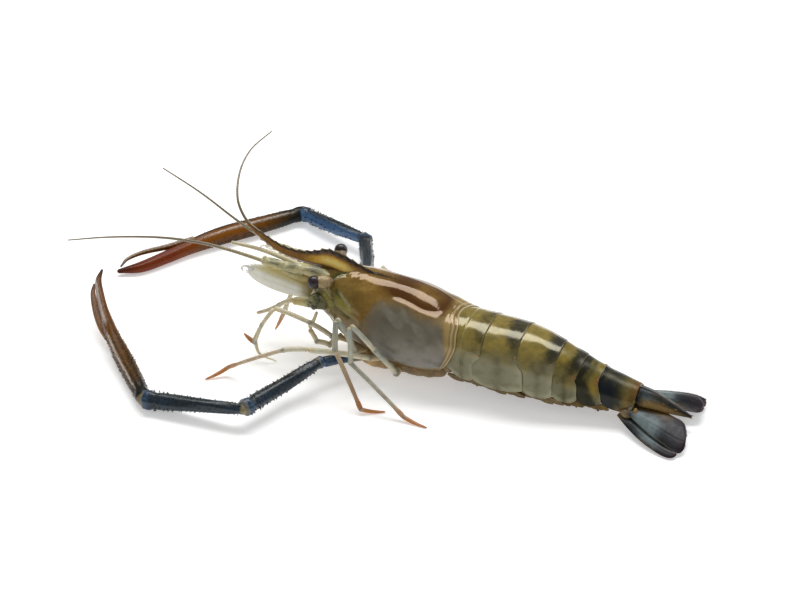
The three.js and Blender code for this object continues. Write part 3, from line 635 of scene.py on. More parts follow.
tail = {
    "x": (4, 21, 37, 52.4, 63.2, 71.6, 87.2),
    "half": (15.6, 16.4, 15.8, 13.4, 11.2, 9.7, 7.4),
    "top": (33.8, 33.0, 32.0, 27.6, 23.4, 20.4, 15.8),
    "waist": (23, 22, 20, 17, 14.5, 12.5, 10),
    "bottom": (9.8, 8.0, 7.8, 6.9, 6.6, 6.8, 5.0),
    "belly": (14.0, 12.5, 11.5, 10.5, 9.5, 8.5, 6.2),
    "edges": (2.8, 18.8, 34.6, 51.8, 62.2, 71.2, 87.2),
    "gap": 0.3, "dip": 0.12, "flare": 0.14, "rounding": 2.2,
    "rows": 46, "flankCols": 24, "archCols": 71,
    # each joint by height of its hinge, how far its lower lobe runs back, depth of the notch at the hinge
    "joints": ((24, 1.6, 0), (24, -3.2, 0), (26, 4.1, 0), (23.2, -0.3, 2.7), (19.4, 0, 2.0),
               (18.2, 1.6, 1.0), (12, 0, 0)),
    # dark band before the rear edge of rings 1 to 4: where it starts at the ridge and at the hinge,
    # strength, lowest height
    "bands": ((0.73, 0.86, 0.55, 25.5), (0.55, 0.9, 0.85, 25.5), (0.68, 0.76, 0.95, 22.5),
              (0.6, 0.66, 0.95, 19.0)),
    "greyBelow": (23.8, 24.0, 23.0, 19.5, 14.5),
    "shade": (0, 0, 0, 0.1, 0.5, 0.85),
    "hingeOrange": (0.3, 0.2, 0.1, 0.4, 0.4, 0.1),
    "swimHairs": 60,
    "look": {
        "base": "907d38", "rough": 0.15, "shine": 0.75, "glint": "fff8d8", "flesh": 0.12,
        "grain": 3.5, "dents": 0.1, "pits": 0.04, "dull": ("low", 0.4),
        "mottle": [("685a22", 8.0, 0.6), ("97843f", 3.5, 0.45), ("463f1d", 1.5, 0.25)],
        "layers": [
            ("low", "77755d", 0.9, 6.0), ("pale", "98957b", 0.8, 3.5), ("shade", "4d4a2a", 0.8, 4.0),
            ("band", "1c1e15", 0.9, 3.0), ("navy", "0c1622", 0.9, 3.0), ("sand", "7a6334", 0.9, 2.2),
            ("gold", "917932", 0.7, 1.5), ("orange", "a86636", 0.6, 0.8), ("line", "a59c74", 0.4, 1.0),
            ("brown", "6b4a20", 0.7, 1.5), ("swim", "5d4228", 0.7, 2.0), ("hair", "4a3120", 0.3, 1.0),
            ("crease", "2b2614", 0.3, 1.0),
        ],
    },
    "rearLook": {"rough": 0.26, "shine": 0.25},  # rings 4 to 6 are less wet
}


def swimmerets(shape, i, seed):
    start, end = tail["edges"][i:i + 2]
    middle, reach = (start + end) / 2, 0.5 * (end - start)
    half, belly, bottom = (through(tail["x"], tail[k], middle) for k in ("half", "belly", "bottom"))
    dice = np.random.default_rng(seed)
    for sign in (-1, 1):
        s = np.linspace(0, 1, 12)
        thick = 1.5 * np.sin(pi * (0.12 + 0.8 * s)) ** 0.8
        for k in range(4 + (i == 4)):  # outer branches, folded back along the pleura
            low = bottom - 3.4 + 0.45 * i + dice.uniform(-0.4, 0.5)
            root = np.array((middle + reach * (0.55 * k - 1.0), sign * half * 0.78, low + 2.2))
            tip = root + np.array((reach * 0.95, sign * dice.uniform(-0.4, 0.2), -2.0))
            tube(shape, root + (tip - root) * s[:, None], thick, sides=12, flat=0.35, up=(0, 1, 0),
                 ends=(0.3, 0.2), swim=0.7, hair=0.3 * (k % 2))
        root = np.array((middle - 3, sign * half * 0.34, belly + 1))  # main blade
        tip = np.array((middle + 4, sign * half * 0.34, 1.4))
        s = np.linspace(0, 1, 18)
        path = root + (tip - root) * s[:, None] + np.stack([1.2 * np.sin(pi * s), 0 * s, 0 * s], 1)
        thick = half * 0.18 * (0.45 + 0.75 * np.sin(pi * s * 0.85) ** 0.8)
        tube(shape, path, thick, sides=18, flat=0.34, up=(1, 0, 0.3), ends=(0.3, 0.3), swim=1.0)
        n = tail["swimHairs"]
        k = dice.uniform(0.35, 1, n)
        off = dice.choice((-1, 1), n) * half * 0.17 * np.sin(pi * k * 0.85)
        edge = root + (tip - root) * k[:, None] + np.stack([0 * k, off, 0 * k], 1)
        sideways = (edge[:, 1] - sign * half * 0.3) * 0.4
        aim = np.stack([dice.normal(0.5, 0.3, n), sideways, -np.full(n, 0.25)], 1)
        keep = edge[:, 2] > 1.2
        spikes(shape, edge[keep], aim[keep], 0.09, 1.4, sides=3, hair=1.0)


def jointLean(j, z):  # how far a joint lies behind its edge at each height
    hinge, lobe, notch = tail["joints"][j]
    return lobe * ease(hinge, hinge - 7, z) - notch * hump(z, hinge, 1.8)


def ringSection(half, top, waist, bottom, belly, t):  # belly, right flank, back, left flank, belly
    k = np.linspace(0, 1, tail["flankCols"])[None, :]
    sideZ = bottom + (waist - bottom) * k
    sideY = half * (0.94 + 0.06 * np.sin(k * pi / 2)) + 0.5 * np.sin(pi * t) * np.sin(pi * k) ** 2
    angle = np.linspace(pi / 2, -pi / 2, tail["archCols"])[None, 1:-1]
    archY, archZ = half * np.sin(angle), waist + (top - waist) * np.cos(angle)
    under = [(half * 0.2, belly), (half * 0.5, belly + 0.2), (half * 0.72, belly + 0.4),
             (half * 0.82, bottom + 1.4), (half * 0.9, bottom + 0.25)]
    underY, underZ = [a for a, _ in under], [b for _, b in under]
    y = np.concatenate(underY + [sideY, archY, -sideY[:, ::-1]] + [-a for a in underY[::-1]], 1)
    z = np.concatenate(underZ + [sideZ, archZ, sideZ[:, ::-1]] + underZ[::-1], 1)
    outer = np.zeros(y.shape[1])
    outer[len(under):-len(under)] = 1
    return y, z, outer


def ringProud(i, t, z):  # a ring starts under its neighbour and ends proud of the next
    lobes = ease(25, 20, z)
    front = -tail["dip"] + (0.45 * lobes if i == 1 else 0)  # ring 2 has its lobes over both neighbours
    rear = tail["flare"] - (0.5 * lobes if i == 0 else 0)
    proud = front * (1 - t) ** 2 + rear * t**2 + 0.05 * ease(0.9, 0.96, t)
    return proud - (0.3 * hump(t, 0.36, 0.022) if i == 0 else 0)


def ringBand(i, t, z, top, hinge):
    if i == 4:  # dark front that widens downwards
        reachBack = 0.3 + 0.04 * np.maximum(0, 21 - z)
        return 0.95 * ease(reachBack + 0.16, reachBack - 0.1, t)
    if i == 5:
        return np.clip(0.7 * ease(0.75, 0.2, t) + 0.4 * ease(0.5, 0.9, t) * ease(11, 8, z), 0, 1)
    ridgeStart, hingeStart, strength, reach = tail["bands"][i]
    start = hingeStart + (ridgeStart - hingeStart) * np.clip((z - hinge) / (top - hinge), 0, 1)
    aloft = 0.5 + 0.5 * ease(hinge, top - 1.5, z)  # darkest along the ridge
    return strength * aloft * ease(start - 0.2, start + 0.12, t) * ease(reach - 4.5, reach + 3.5, z)


def ringMasks(i, t, points, top, bottom, hinge, z, outer):
    low = 0.0
    if i < 5:
        level = tail["greyBelow"][i]
        low = ease(level + 6.0, level - 6.0, z) * outer
    pale = low * (hump(z - bottom, 1.0, 1.6) + 0.6 * ease(0.75, 1.0, t)) * outer
    clouds = 0.25 * ease(0.1, 0.9, wander(points, 6.0, 70 + i))
    shade = (0.55 * hump(t, 0.5, 0.12) * ease(27, 22, z) + clouds + tail["shade"][i]) * outer
    masks = {
        "low": low,
        "pale": np.clip(pale, 0, 1),
        "shade": np.clip(shade, 0, 1),
        "band": ringBand(i, t, z, top, hinge) * outer,
        # a thin pale line along each ring's rear edge, and one behind the groove on ring 1, is a painted
        # highlight
        "line": hump(t, 0.985, 0.012) * 0.2 * outer + (hump(t, 0.39, 0.014) * 0.5 if i == 0 else 0),
        "swim": 1 - outer,
        "crease": (0.2 * ease(0.025, 0.0, t) * ease(22, 27, z) if i else 0.0) * outer,
    }
    if i in (3, 4):  # yellow and orange round the hinge
        masks["gold"] = hump(t, 0.76, 0.2) * hump(z, hinge - 2.2, 3.0) * (0.5 if i == 3 else 1.0) * outer
        masks["orange"] = 0.7 * hump(t, 0.97, 0.08) * hump(z, hinge + 0.2, 0.9) * outer
    if i == 5:
        patches = hump(t, 0.74, 0.12) * hump(z, 11, 5) + 0.6 * hump(t, 0.5, 0.09) * hump(z, 7.0, 2.2)
        masks["navy"] = np.clip(ease(0.7, 0.3, t) * ease(21.5, 16.0, z) + ease(0.12, 0.05, t) * 0.8, 0, 1)
        masks["sand"] = np.clip(patches, 0, 1)
        masks["brown"] = ease(0.76, 0.95, t) * ease(9, 15, z) * 0.9
    return {k: np.broadcast_to(m, z.shape) for k, m in masks.items()}


def makeSomite(i):
    start, end = tail["edges"][i:i + 2]
    t = np.linspace(0, 1, tail["rows"])
    x = start + tail["gap"] + (end - start - tail["gap"]) * t
    keys = ("half", "top", "waist", "bottom", "belly")
    half, top, waist, bottom, belly = (through(tail["x"], tail[k], x)[:, None] for k in keys)
    t = t[:, None]
    bottom = bottom + tail["rounding"] * np.abs(2 * t - 1) ** 3
    y, z, outer = ringSection(half, top, waist, bottom, belly, t)
    out = unit(np.stack([0 * y, y, np.maximum(z - waist, 0)], -1))
    points = np.stack([x[:, None] + jointLean(i, z) * (1 - t) + jointLean(i + 1, z) * t, y, z], -1)
    points = points + out * ((ringProud(i, t, z) + wander(points, 9.0, 20 + i) * 0.05) * outer)[..., None]
    hinge = tail["joints"][i + 1][0]
    masks = ringMasks(i, t, points, top, bottom, hinge, z, outer)
    collar = []  # the front edge runs on under the ring before it
    for ahead, shrink in ((5.0, 1.0), (1.2, 0.5)) if i == 0 else ((2.6, 1.3), (1.0, 0.7)):
        collar.append(points[0] - np.array((ahead, 0, 0)) - out[0] * outer[:, None] * shrink)
    shape = Shape()
    closedGrid(shape, np.concatenate([np.stack(collar), points]),
               **{k: np.concatenate([m[:1], m[:1], m]) for k, m in masks.items()})
    hx = end + float(jointLean(i + 1, hinge)) - 0.3
    rise = max(0.0, (hinge - float(waist[-1, 0])) / float(top[-1, 0] - waist[-1, 0]))
    hy = float(half[-1, 0]) * math.sqrt(max(0.05, 1 - rise**2))
    for sign in (-1, 1):  # hinge knobs between the rings
        ball(shape, (hx, sign * (hy - 0.3), hinge), (0.7, 0.7, 0.8), rows=9, cols=12,
             orange=tail["hingeOrange"][i], band=0.3)
    if i < 5:
        swimmerets(shape, i, 40 + i)
    return shape


print("tail rings")
tailPaint = paint("tailPaint", tail["look"])
rearPaint = paint("tailRearPaint", {**tail["look"], **tail["rearLook"]})
for i in range(6):
    place(f"tailRing{i + 1}", makeSomite(i), tailPaint if i < 3 else rearPaint, [f"abdomen_{i + 1}"])

# Tail fan

fan = {
    # each leaf by side: root, tip, half width, slope outwards, slant of its end
    # form of each leaf: where it is widest, how much its root narrows, how fast
    "inner": {"left": ((84.0, -8.0, 9.0), (112.9, -14.1, 3.6), 8.4, 0.25, 0.12),
              "right": ((84.0, 5.6, 9.0), (113.7, 12.3, 4.6), 7.0, 0.1, 0), "form": (0.8, 0.8, 1.3)},
    "outer": {"left": ((81.5, -7.6, 5.6), (110.9, -21.0, 2.0), 6.3, 0.25, 0.12),
              "right": ((82.0, 7.0, 6.5), (113.4, 18.3, 3.2), 7.0, 0.2, 0), "form": (0.55, 0.65, 1.5)},
    "rows": 70, "cols": 80, "thick": 1.3, "rib": 0.12, "fringe": 0.55, "fringeHairs": 260,
    "telson": (((87.5, 0, 11.2), 6.3), ((94, 0, 10.5), 5.4), ((103, 0, 8.3), 3.4), ((110.5, 0, 6.4), 1.0)),
    # knobs of the short root that carries both leaves: centre, radii, axis, masks; their pale patches are
    # painted highlights
    "roots": (((84.4, 8.2, 6.2), (3.0, 2.2, 3.0), (1, 0.5, -0.2), {"olive": 0.3, "bright": 0.5, "tan": 0.5}),
              ((85.6, 8.0, 8.6), (0.9, 2.0, 1.1), (0.6, 1.0, -0.2), {"bright": 1.0, "tan": 0.4}),
              ((88.4, 8.4, 8.6), (1.0, 1.4, 1.0), (1, 0.2, 0.3), {"tan": 1.0}),
              ((87.0, 9.4, 7.8), (0.7, 1.1, 0.8), (1, 0.4, 0.3), {"olive": 1.0, "tan": 0.5})),
    "look": {
        "base": "181e20", "rough": 0.32, "shine": 0.2, "flesh": 0.05,
        "grain": 2.5, "dents": 0.12, "pits": 0.05,
        "mottle": [("101518", 5.0, 0.7), ("36403f", 3.0, 0.4)],
        "layers": [
            # pale slate paint, partly a painted highlight
            ("bright", "6c7a7b", 0.8, 3.0), ("olive", "5a4824", 0.8, 2.5), ("dark", "0a0c14", 0.5, 3.0),
            ("plum", "190f1a", 0.5, 2.0), ("rib", "0f110d", 0.4, 1.0), ("ribPale", "5f5840", 0.3, 1.0),
            ("tan", "9a7c4a", 0.7, 1.4), ("rust", "5a2c16", 0.5, 1.0), ("hair", "43322a", 0.3, 1.0),
        ],
    },
}


def fanLeaf(shape, leaf, form, sign, seed, outer):
    base, tip, half, slope, skew = leaf
    widest, narrow, swell = form
    base, tip = np.array(base), np.array(tip)
    forward = tip - base
    across = np.array((0, sign, -slope), float)
    across = unit(across - forward * (across @ forward) / (forward @ forward))
    rise = unit(np.cross(forward, across)) * sign

    def outline(s):
        root = 1 - narrow * np.maximum(1 - s / widest, 0) ** swell
        end = np.clip(1 - (np.maximum(s - widest, 0) / (1.004 - widest)) ** 3.6, 0.003, 1) ** 0.5
        return np.where(s < widest, root, end)

    s = np.linspace(0, 1, fan["rows"])[:, None]
    w = np.linspace(0, 2 * pi, fan["cols"], endpoint=False)[None, :]
    wide = outline(s)
    part = np.cos(w)  # -1 at the inner edge, 1 at the outer edge
    upper = np.sin(w) > 0
    bulge = (0.5 * fan["thick"] * np.sin(w) * (0.35 + 0.65 * np.sqrt(np.abs(np.sin(w)))) * (1 - 0.75 * s)
             * np.minimum(1, wide * 1.4))
    ribAt = 0.5 if outer else 0.1
    grooveAt = ribAt + 0.13
    ridge = 0.3 * hump(part, ribAt, 0.06) * ease(1.0, 0.8, s) - 0.3 * hump(part, grooveAt, 0.06)
    ridge = fan["rib"] * ridge
    veins = 0.015 * np.sin(part * 50) * ease(0.1, 0.4, s)
    camber = 0.6 * (1 - part**2) * ease(0, 0.3, s)
    lap, sink = 0.0, 0.0
    if outer:  # dips under the inner leaf
        sink = 1.2 * ease(0.9, -0.9, part) * ease(0.2, 0.7, s)
    else:  # its inner edge runs on under the telson
        lap = 0.3 * (part < 0) * ease(0.85, 0.35, s)
    points = (base + forward * (s * (1 + skew * wide * part))[..., None]
              + across * (half * wide * part * (1 + lap))[..., None]
              + rise * (bulge + (ridge + veins) * upper + camber - sink - 0.2)[..., None])
    streaks = wander(points, 4.0, seed) * 0.2
    rim = np.clip(ease(0.93, 0.99, np.abs(part)) * ease(0.4, 0.6, s) + ease(0.97, 0.995, s), 0, 1)
    # the pale slate paint on the leaves' upper side is partly a painted highlight
    if outer:
        dark = 0.9 * ease(0.3, 0.65, part) * ease(0.08, 0.2, s) * ease(0.52, 0.34, s) + ease(0.6, 0.82, s)
        bright = hump(part, 0.35, 0.5) * ease(0.2, 0.42, s) * ease(0.85, 0.62, s)
        brown = 0.5 * ease(0.85, 0.97, part) * ease(0.3, 0.6, s) + 0.6 * ease(0.22, 0.05, s)
        rust, ribPale = rim * 0.6, 0.0
    else:
        dark = 0.95 * ease(0.5, 0.76, s + 0.06 * part)
        bright = ease(-0.5, 0.05, part) * ease(0.1, 0.25, s) * ease(0.7, 0.46, s)
        brown = 0.9 * ease(-0.3, -0.75, part) * ease(0.95, 0.6, s)
        rust = rim * 0.6 * ease(0.5, 0.0, part)
        ribPale = hump(part, 0.93, 0.03) * 0.6 * upper * ease(0.95, 0.8, s)
    closedGrid(shape, points, dark=np.clip(dark + streaks, 0, 1), plum=ease(0.7, 0.98, s) * 0.85,
               rust=rust, rib=hump(part, grooveAt, 0.05) * upper * 0.15, ribPale=ribPale,
               bright=np.clip(bright * upper + streaks * ease(0.75, 0.5, s), 0, 1),
               olive=np.clip(brown, 0, 1) * upper, tan=ease(0.1, 0.02, s) * 0.6)
    dice = np.random.default_rng(seed)
    n = fan["fringeHairs"]  # fine hairs round the end
    q = dice.uniform(0, pi, n)
    fs = widest + (1 - widest) * np.sin(q)
    fw = outline(fs) * np.sign(np.cos(q))
    root = base + forward * (fs * (1 + skew * fw))[:, None] + across * (half * fw * 0.985)[:, None]
    aim = (unit(forward) * (0.4 + np.sin(q))[:, None]
           + across * (np.sign(fw) * np.abs(np.cos(q)))[:, None] * 0.9 + dice.normal(0, 0.08, (n, 3)))
    keep = (root[:, 2] > 0.7) & (outer | (fw < 0.6))
    length = fan["fringe"] * dice.uniform(0.4, 1, n)
    spikes(shape, root[keep], aim[keep], 0.06, length[keep], sides=3, hair=1.0)


def makeTelson():
    shape = Shape()
    path, radii = resample(fan["telson"], 60)
    top = pi / 2  # angle of the ridge

    def relief(a, t):
        furrows = hump(t, top - 0.6, 0.25) + hump(t, top + 0.6, 0.25)
        return 0.5 * hump(t, top, 0.25) * ease(1, 0.2, a) - 0.35 * furrows

    def margin(t):
        return np.abs(np.cos(t))

    def dark(a, t):
        return np.clip(ease(0.12, 0.0, a) * 0.8 + 0.7 * ease(0.3, 0.9, a) * hump(t, top, 1.2), 0, 1)

    # the small pale patch on the telson's upper side is a painted highlight
    tube(shape, path, radii, sides=56, flat=0.62, ends=(0.1, 1), relief=relief, dark=dark,
         bright=lambda a, t: 0.3 * hump(t, top + 0.7, 0.35) * hump(a, 0.22, 0.16),
         olive=lambda a, t: np.clip(0.18 + 0.6 * hump(t, top + 1.1, 0.5), 0, 1) * ease(0.1, 0.4, a),
         tan=lambda a, t: 0.8 * ease(0.7, 0.98, margin(t)) * ease(0.0, 0.2, a) * ease(1, 0.6, a),
         ribPale=lambda a, t: 0.6 * hump(margin(t), 0.93, 0.05) * (np.sin(t) > 0) * ease(0.1, 0.3, a),
         plum=lambda a, t: 0.7 * ease(0.8, 1, a))
    signs = (-1, 1)
    pairs = [(x, sign * y, z) for x, y, z in ((98.5, 2.6, 11.3), (104, 1.9, 9.4)) for sign in signs]
    spikes(shape, pairs, [(1, 0, 0.12)] * 4, 0.35, 1.6, sides=7, tan=0.7)
    ends = [(110.6, sign * y, 6.3) for y in (0.5, 1.0) for sign in signs]
    spikes(shape, ends, [(1, sign * 0.25, -0.1) for sign in signs] * 2, 0.22, 1.8, sides=6, tan=0.6)
    return shape


print("tail fan")
fanPaint = paint("fanPaint", fan["look"])
place("telsonPlate", makeTelson(), fanPaint, ["telson"])
for side, sign in (("left", -1), ("right", 1)):
    for row in ("inner", "outer"):
        outer = row == "outer"
        leafShape = Shape()
        fanLeaf(leafShape, fan[row][side], fan[row]["form"], sign, 60 + sign + 5 * outer, outer)
        for k, (centre, radii, axis, masks) in enumerate(fan["roots"] if outer else ()):
            centre, axis = np.array(centre) * (1, sign, 1), np.array(axis) * (1, sign, 1)
            rows, cols = (12, 18) if k else (20, 28)  # the first knob is the largest
            ball(leafShape, centre, radii, rows, cols, axis, **masks)
        place(f"fanLeaf_{row}_{side}", leafShape, fanPaint, [f"uropod_{row}_{side}"])

# Eyes, stems and scales of the head

head = {
    "eye": {"left": (-61.6, -13.5, 41.3), "right": (-60.2, 13.0, 43.5)}, "eyeRadius": 3.1,
    "stalk": {"left": (((-55.6, -9.0, 40.4), 2.1), ((-57.2, -10.6, 40.9), 2.6), ((-58.8, -11.8, 41.2), 2.7),
                       ((-60.4, -12.8, 41.3), 2.4)),
              "right": (((-57.2, 6.2, 40.2), 1.9), ((-58.0, 8.4, 41.2), 2.2), ((-58.9, 10.6, 42.4), 2.4),
                        ((-59.6, 12.0, 43.1), 2.2))},
    # stems and scale of the right side, the left ones are mirrored
    "antennaStem": (((-58, 9, 28.4), 3.4), ((-62.4, 9.8, 29.0), 3.7), ((-66.2, 9.8, 27.0), 2.2),
                    ((-74, 9.0, 25.2), 1.4)),
    # lumps round its root: centre, green, dark
    "stemLumps": (((-61.0, 12.4, 31.4), 0.9, 0.2), ((-63.8, 12.2, 31.0), 0.5, 0.1),
                  ((-62.6, 12.8, 27.4), 0.7, 0.3)),
    "antennuleStem": (((-58, 4.6, 40.2), 2.3), ((-63, 5.0, 40.9), 2.6), ((-70, 5.3, 41.3), 2.9),
                      ((-76, 5.6, 41.1), 2.8), ((-82, 6.0, 41.3), 2.6), ((-89.5, 6.7, 42.2), 2.1)),
    # from, to, share of the radius
    "antennuleJoints": ((0, 0.42, 0.96), (0.43, 0.68, 0.93), (0.69, 1.0, 0.93)),
    # golden underside of its first joint
    "antennuleLobe": (((-60.0, 5.8, 37.4), 1.8), ((-66.0, 6.2, 37.8), 2.4), ((-73.0, 6.8, 38.4), 2.1),
                      ((-80.0, 7.2, 39.4), 1.0)),
    "scale": {"base": (-65.0, 9.5, 32.6), "tip": (-96.6, 10, 38.3), "half": 4.9, "thick": 1.3, "widest": 0.5,
              "rows": 70, "cols": 64, "hairs": 150},
    "scaleCurl": (((-94.5, 9.8, 38.4), 0.75), ((-97.6, 9.8, 39.2), 0.6), ((-99.6, 9.9, 38.0), 0.5),
                  ((-99.3, 10, 36.6), 0.4)),
    "eyeLook": {
        "base": "1a0e12", "rough": 0.34, "coat": 0.12, "coatRough": 0.12, "grain": 0.6, "dents": 0.04,
        "mottle": [("3d2327", 2.0, 0.6)],
    },
    "stalkLook": {
        "base": "a98f63", "rough": 0.4, "coat": 0.1, "flesh": 0.25, "grain": 1.2, "dents": 0.25,
        "mottle": [("8a7146", 1.6, 0.5), ("d9c59d", 1.0, 0.4)],
        "layers": [("dark", "54401f", 0.6, 0.8), ("pale", "d9c8a6", 0.5, 0.8)],
    },
    "stemLook": {
        "base": "cfc392", "rough": 0.3, "flesh": 0.4, "grain": 1.5, "dents": 0.35,
        "mottle": [("8f9468", 3.0, 0.5), ("dccf9c", 1.8, 0.5), ("566258", 1.2, 0.2)],
        "layers": [
            ("pale", "d3c58e", 0.6, 1.5), ("green", "4a4e24", 0.8, 1.8), ("slate", "69766a", 0.8, 1.6),
            ("dark", "2a3128", 0.8, 1.0), ("gold", "a68f4a", 0.8, 1.5), ("joint", "cbbf92", 0.4, 1.0),
        ],
    },
    "scaleLook": {
        "base": "f6f3e4", "rough": 0.3, "flesh": 0.5, "fleshDepth": (1.4, 1.3, 1.0), "grain": 2.0,
        "mottle": [("e6e4cf", 5.0, 0.5), ("f8f6ec", 2.5, 0.5)],
        "layers": [
            ("yellow", "c9bd86", 0.6, 3.0), ("groove", "c6c8ae", 0.5, 1.5), ("ridge", "fbf9f0", 0.4, 1.5),
            ("root", "94874c", 0.7, 2.0), ("rim", "e2dabd", 0.4, 1.0),
        ],
    },
}


def flip(stops, sign):
    return [((p[0], p[1] * sign, p[2]), r) for p, r in stops]


def makeEye(side):
    shape = Shape()
    gaze = (-0.75, -0.6 if side == "left" else 0.6, 0.15)
    ball(shape, head["eye"][side], (head["eyeRadius"],) * 3, rows=36, cols=48, axis=gaze)
    return shape


def makeStalk(side):
    shape = Shape()
    left = side == "left"

    # the darker root end where the stalk enters the orbit is painted shade
    def dark(a, t):
        smudge = 0.15 * np.sin(6 * t + 11 * a) if left else 0.75
        return np.clip(0.7 * ease(0.94, 1, a) + 0.6 * ease(0.35, 0.0, a) + smudge, 0, 1)

    # a pale streak along one side of the left stalk is a painted highlight
    tube(shape, *resample(head["stalk"][side], 30), sides=40, ends=(0.6, 0.5),
         relief=lambda a, t: 0.12 * np.sin(5 * t + 9 * a) * hump(a, 0.4, 0.3) + 0.12 * hump(a, 0.93, 0.06),
         dark=dark,
         pale=lambda a, t: (0.8 if left else 0.1) * hump(np.sin(t - 0.9), 1, 0.4) * hump(a, 0.6, 0.25))
    return shape


def makeStem(sign):
    shape = Shape()

    def relief(a, t):
        folds = 0.3 * np.sin(a * 16 + 2 * t) * hump(a, 0.3, 0.22)
        return folds - 0.45 * hump(a, 0.46, 0.03) - 0.3 * hump(a, 0.2, 0.03) + 0.2 * hump(a, 0.97, 0.03)

    tube(shape, *resample(flip(head["antennaStem"], sign), 60), sides=40, ends=(0.4, 0.6), relief=relief,
         green=lambda a, t: 0.8 * ease(0.55, 0.35, a), pale=lambda a, t: ease(0.5, 0.7, a),
         dark=lambda a, t: np.clip(hump(a, 0.46, 0.03) + 0.8 * hump(a, 0.2, 0.025), 0, 1))
    thorns = [(-64.2, sign * 13.0, 29.6), (-64.5, sign * 11.8, 26.6)]
    aim = [(-1, sign * 0.2, -0.1), (-1, sign * 0.1, -0.3)]
    spikes(shape, thorns, aim, (0.8, 0.6), (3.2, 2.2), sides=9, green=0.5)
    for centre, green, dark in head["stemLumps"]:
        centre = np.array(centre) * (1, sign, 1)
        ball(shape, centre, (1.5, 1.3, 1.1), axis=(-0.4, sign, 0.3), green=green, dark=dark)
    return shape


def makeAntennule(sign):
    shape = Shape()
    top = pi / 2  # angle of the upper side
    path, radii = resample(flip(head["antennuleStem"], sign), 120)
    last = len(path) - 1
    dent = lambda a, t: -0.45 * hump(t, top + 0.3, 0.4) * hump(a, 0.45, 0.4)
    lines = lambda t: hump(t, top + 0.75, 0.16) + hump(t, top - 0.95, 0.16)
    for k, (start, stop, share) in enumerate(head["antennuleJoints"]):
        rows = slice(int(start * last), int(stop * last) + 1)
        swell = 1 + 0.12 * np.sin(np.linspace(0, pi, len(path[rows])))
        tube(shape, path[rows], radii[rows] * swell * share, sides=32, flat=0.92, ends=(0.35, 0.4),
             relief=lambda a, t: dent(a, t) + 0.18 * np.sin(7 * a + 3 * t + k),
             joint=lambda a, t: ease(0.93, 1, a) * 0.5,
             slate=lambda a, t: 0.75 * hump(t, top - 0.3, 0.6) * hump(a, 0.5, 0.3),
             dark=lambda a, t: 0.6 * lines(t) * hump(a, 0.5, 0.36),
             pale=lambda a, t: 0.75 * ease(0.3, -0.5, np.sin(t)))
    tube(shape, *resample(flip(head["antennuleLobe"], sign), 40), sides=24, ends=(0.5, 0.8),
         gold=lambda a, t: 0.9 * ease(0.95, 0.3, a), pale=lambda a, t: 0.8 * ease(-0.2, -0.8, np.sin(t)))
    outer = np.array((-70, sign * 7.6, 40.4))
    thorns = [outer, outer + (-6, sign * 0.5, 0.5)]
    spikes(shape, thorns, [(-1, sign * 0.15, 0.05)] * 2, (0.8, 0.5), (4.2, 2.2), sides=8, pale=0.9)
    for root in ((-89.6, sign * 6.2, 43.2), (-89.9, sign * 7.2, 42.2)):  # sockets of the feelers
        ball(shape, root, (1.35, 1.35, 1.1), axis=(-1, 0, 0.15), joint=0.8)
    return shape


def makeScale(sign):
    shape = Shape()
    leaf = head["scale"]
    widest = leaf["widest"]
    base, tip = np.array(leaf["base"]) * (1, sign, 1), np.array(leaf["tip"]) * (1, sign, 1)
    forward = tip - base
    across = np.array((0, sign, -1.0))
    across = unit(across - forward * (across @ forward) / (forward @ forward))
    rise = unit(np.cross(across, forward)) * sign
    taper = lambda s: np.sqrt(np.clip(1 - (np.maximum(s - widest, 0) / 0.505) ** 2.4, 0.003, 1))
    s = np.linspace(0, 1, leaf["rows"])[:, None]
    w = np.linspace(0, 2 * pi, leaf["cols"], endpoint=False)[None, :]
    wide = np.where(s < widest, 1 - 0.5 * (1 - s / widest) ** 2, taper(s))
    part = np.cos(w)  # -1 at the inner edge, 1 at the outer edge
    upper = np.sin(w) > 0
    bulge = 0.5 * leaf["thick"] * np.sin(w) * (1 - 0.55 * s) * np.minimum(1, wide * 1.5)
    ridges = 0.3 * hump(part, 0.62, 0.1) + 0.12 * hump(part, 0.05, 0.08) + 0.08 * hump(part, -0.45, 0.08)
    ridges = ridges * upper * ease(1, 0.6, s)
    grooves = 0.1 * (hump(part, 0.4, 0.09) + hump(part, -0.2, 0.08)) * upper
    curl = (0.8 * ease(0.75, 1, s) ** 2 * ease(0.2, -1, part) + 0.7 * (1 - part**2)) * wide
    points = (base + forward * s[..., None] + across * (leaf["half"] * wide * part)[..., None]
              + rise * (bulge + ridges - grooves + curl - 0.4)[..., None])
    closedGrid(shape, points, yellow=0.8 * ease(0.0, -0.5, part) * ease(0.98, 0.7, s),
               ridge=np.clip(ridges * 2.6, 0, 1), groove=np.clip(grooves * 3, 0, 1),
               root=ease(0.22, 0.0, s), rim=ease(0.86, 0.98, np.abs(part)))
    tube(shape, *resample(flip(head["scaleCurl"], sign), 24), sides=12, ridge=0.5)
    dice = np.random.default_rng(80)
    q = dice.uniform(0.45, pi, leaf["hairs"])
    fs = 0.52 + 0.48 * np.sin(q)
    fw = taper(fs) * np.sign(np.cos(q))
    root = base + forward * fs[:, None] + across * (leaf["half"] * fw * 0.97)[:, None] + rise * 0.5
    aim = unit(forward) * (0.5 + np.sin(q))[:, None] + across * (fw * 0.8)[:, None]
    keep = fw < 0.5
    spikes(shape, root[keep], aim[keep], 0.07, 0.9, sides=3, rim=0.8)
    return shape


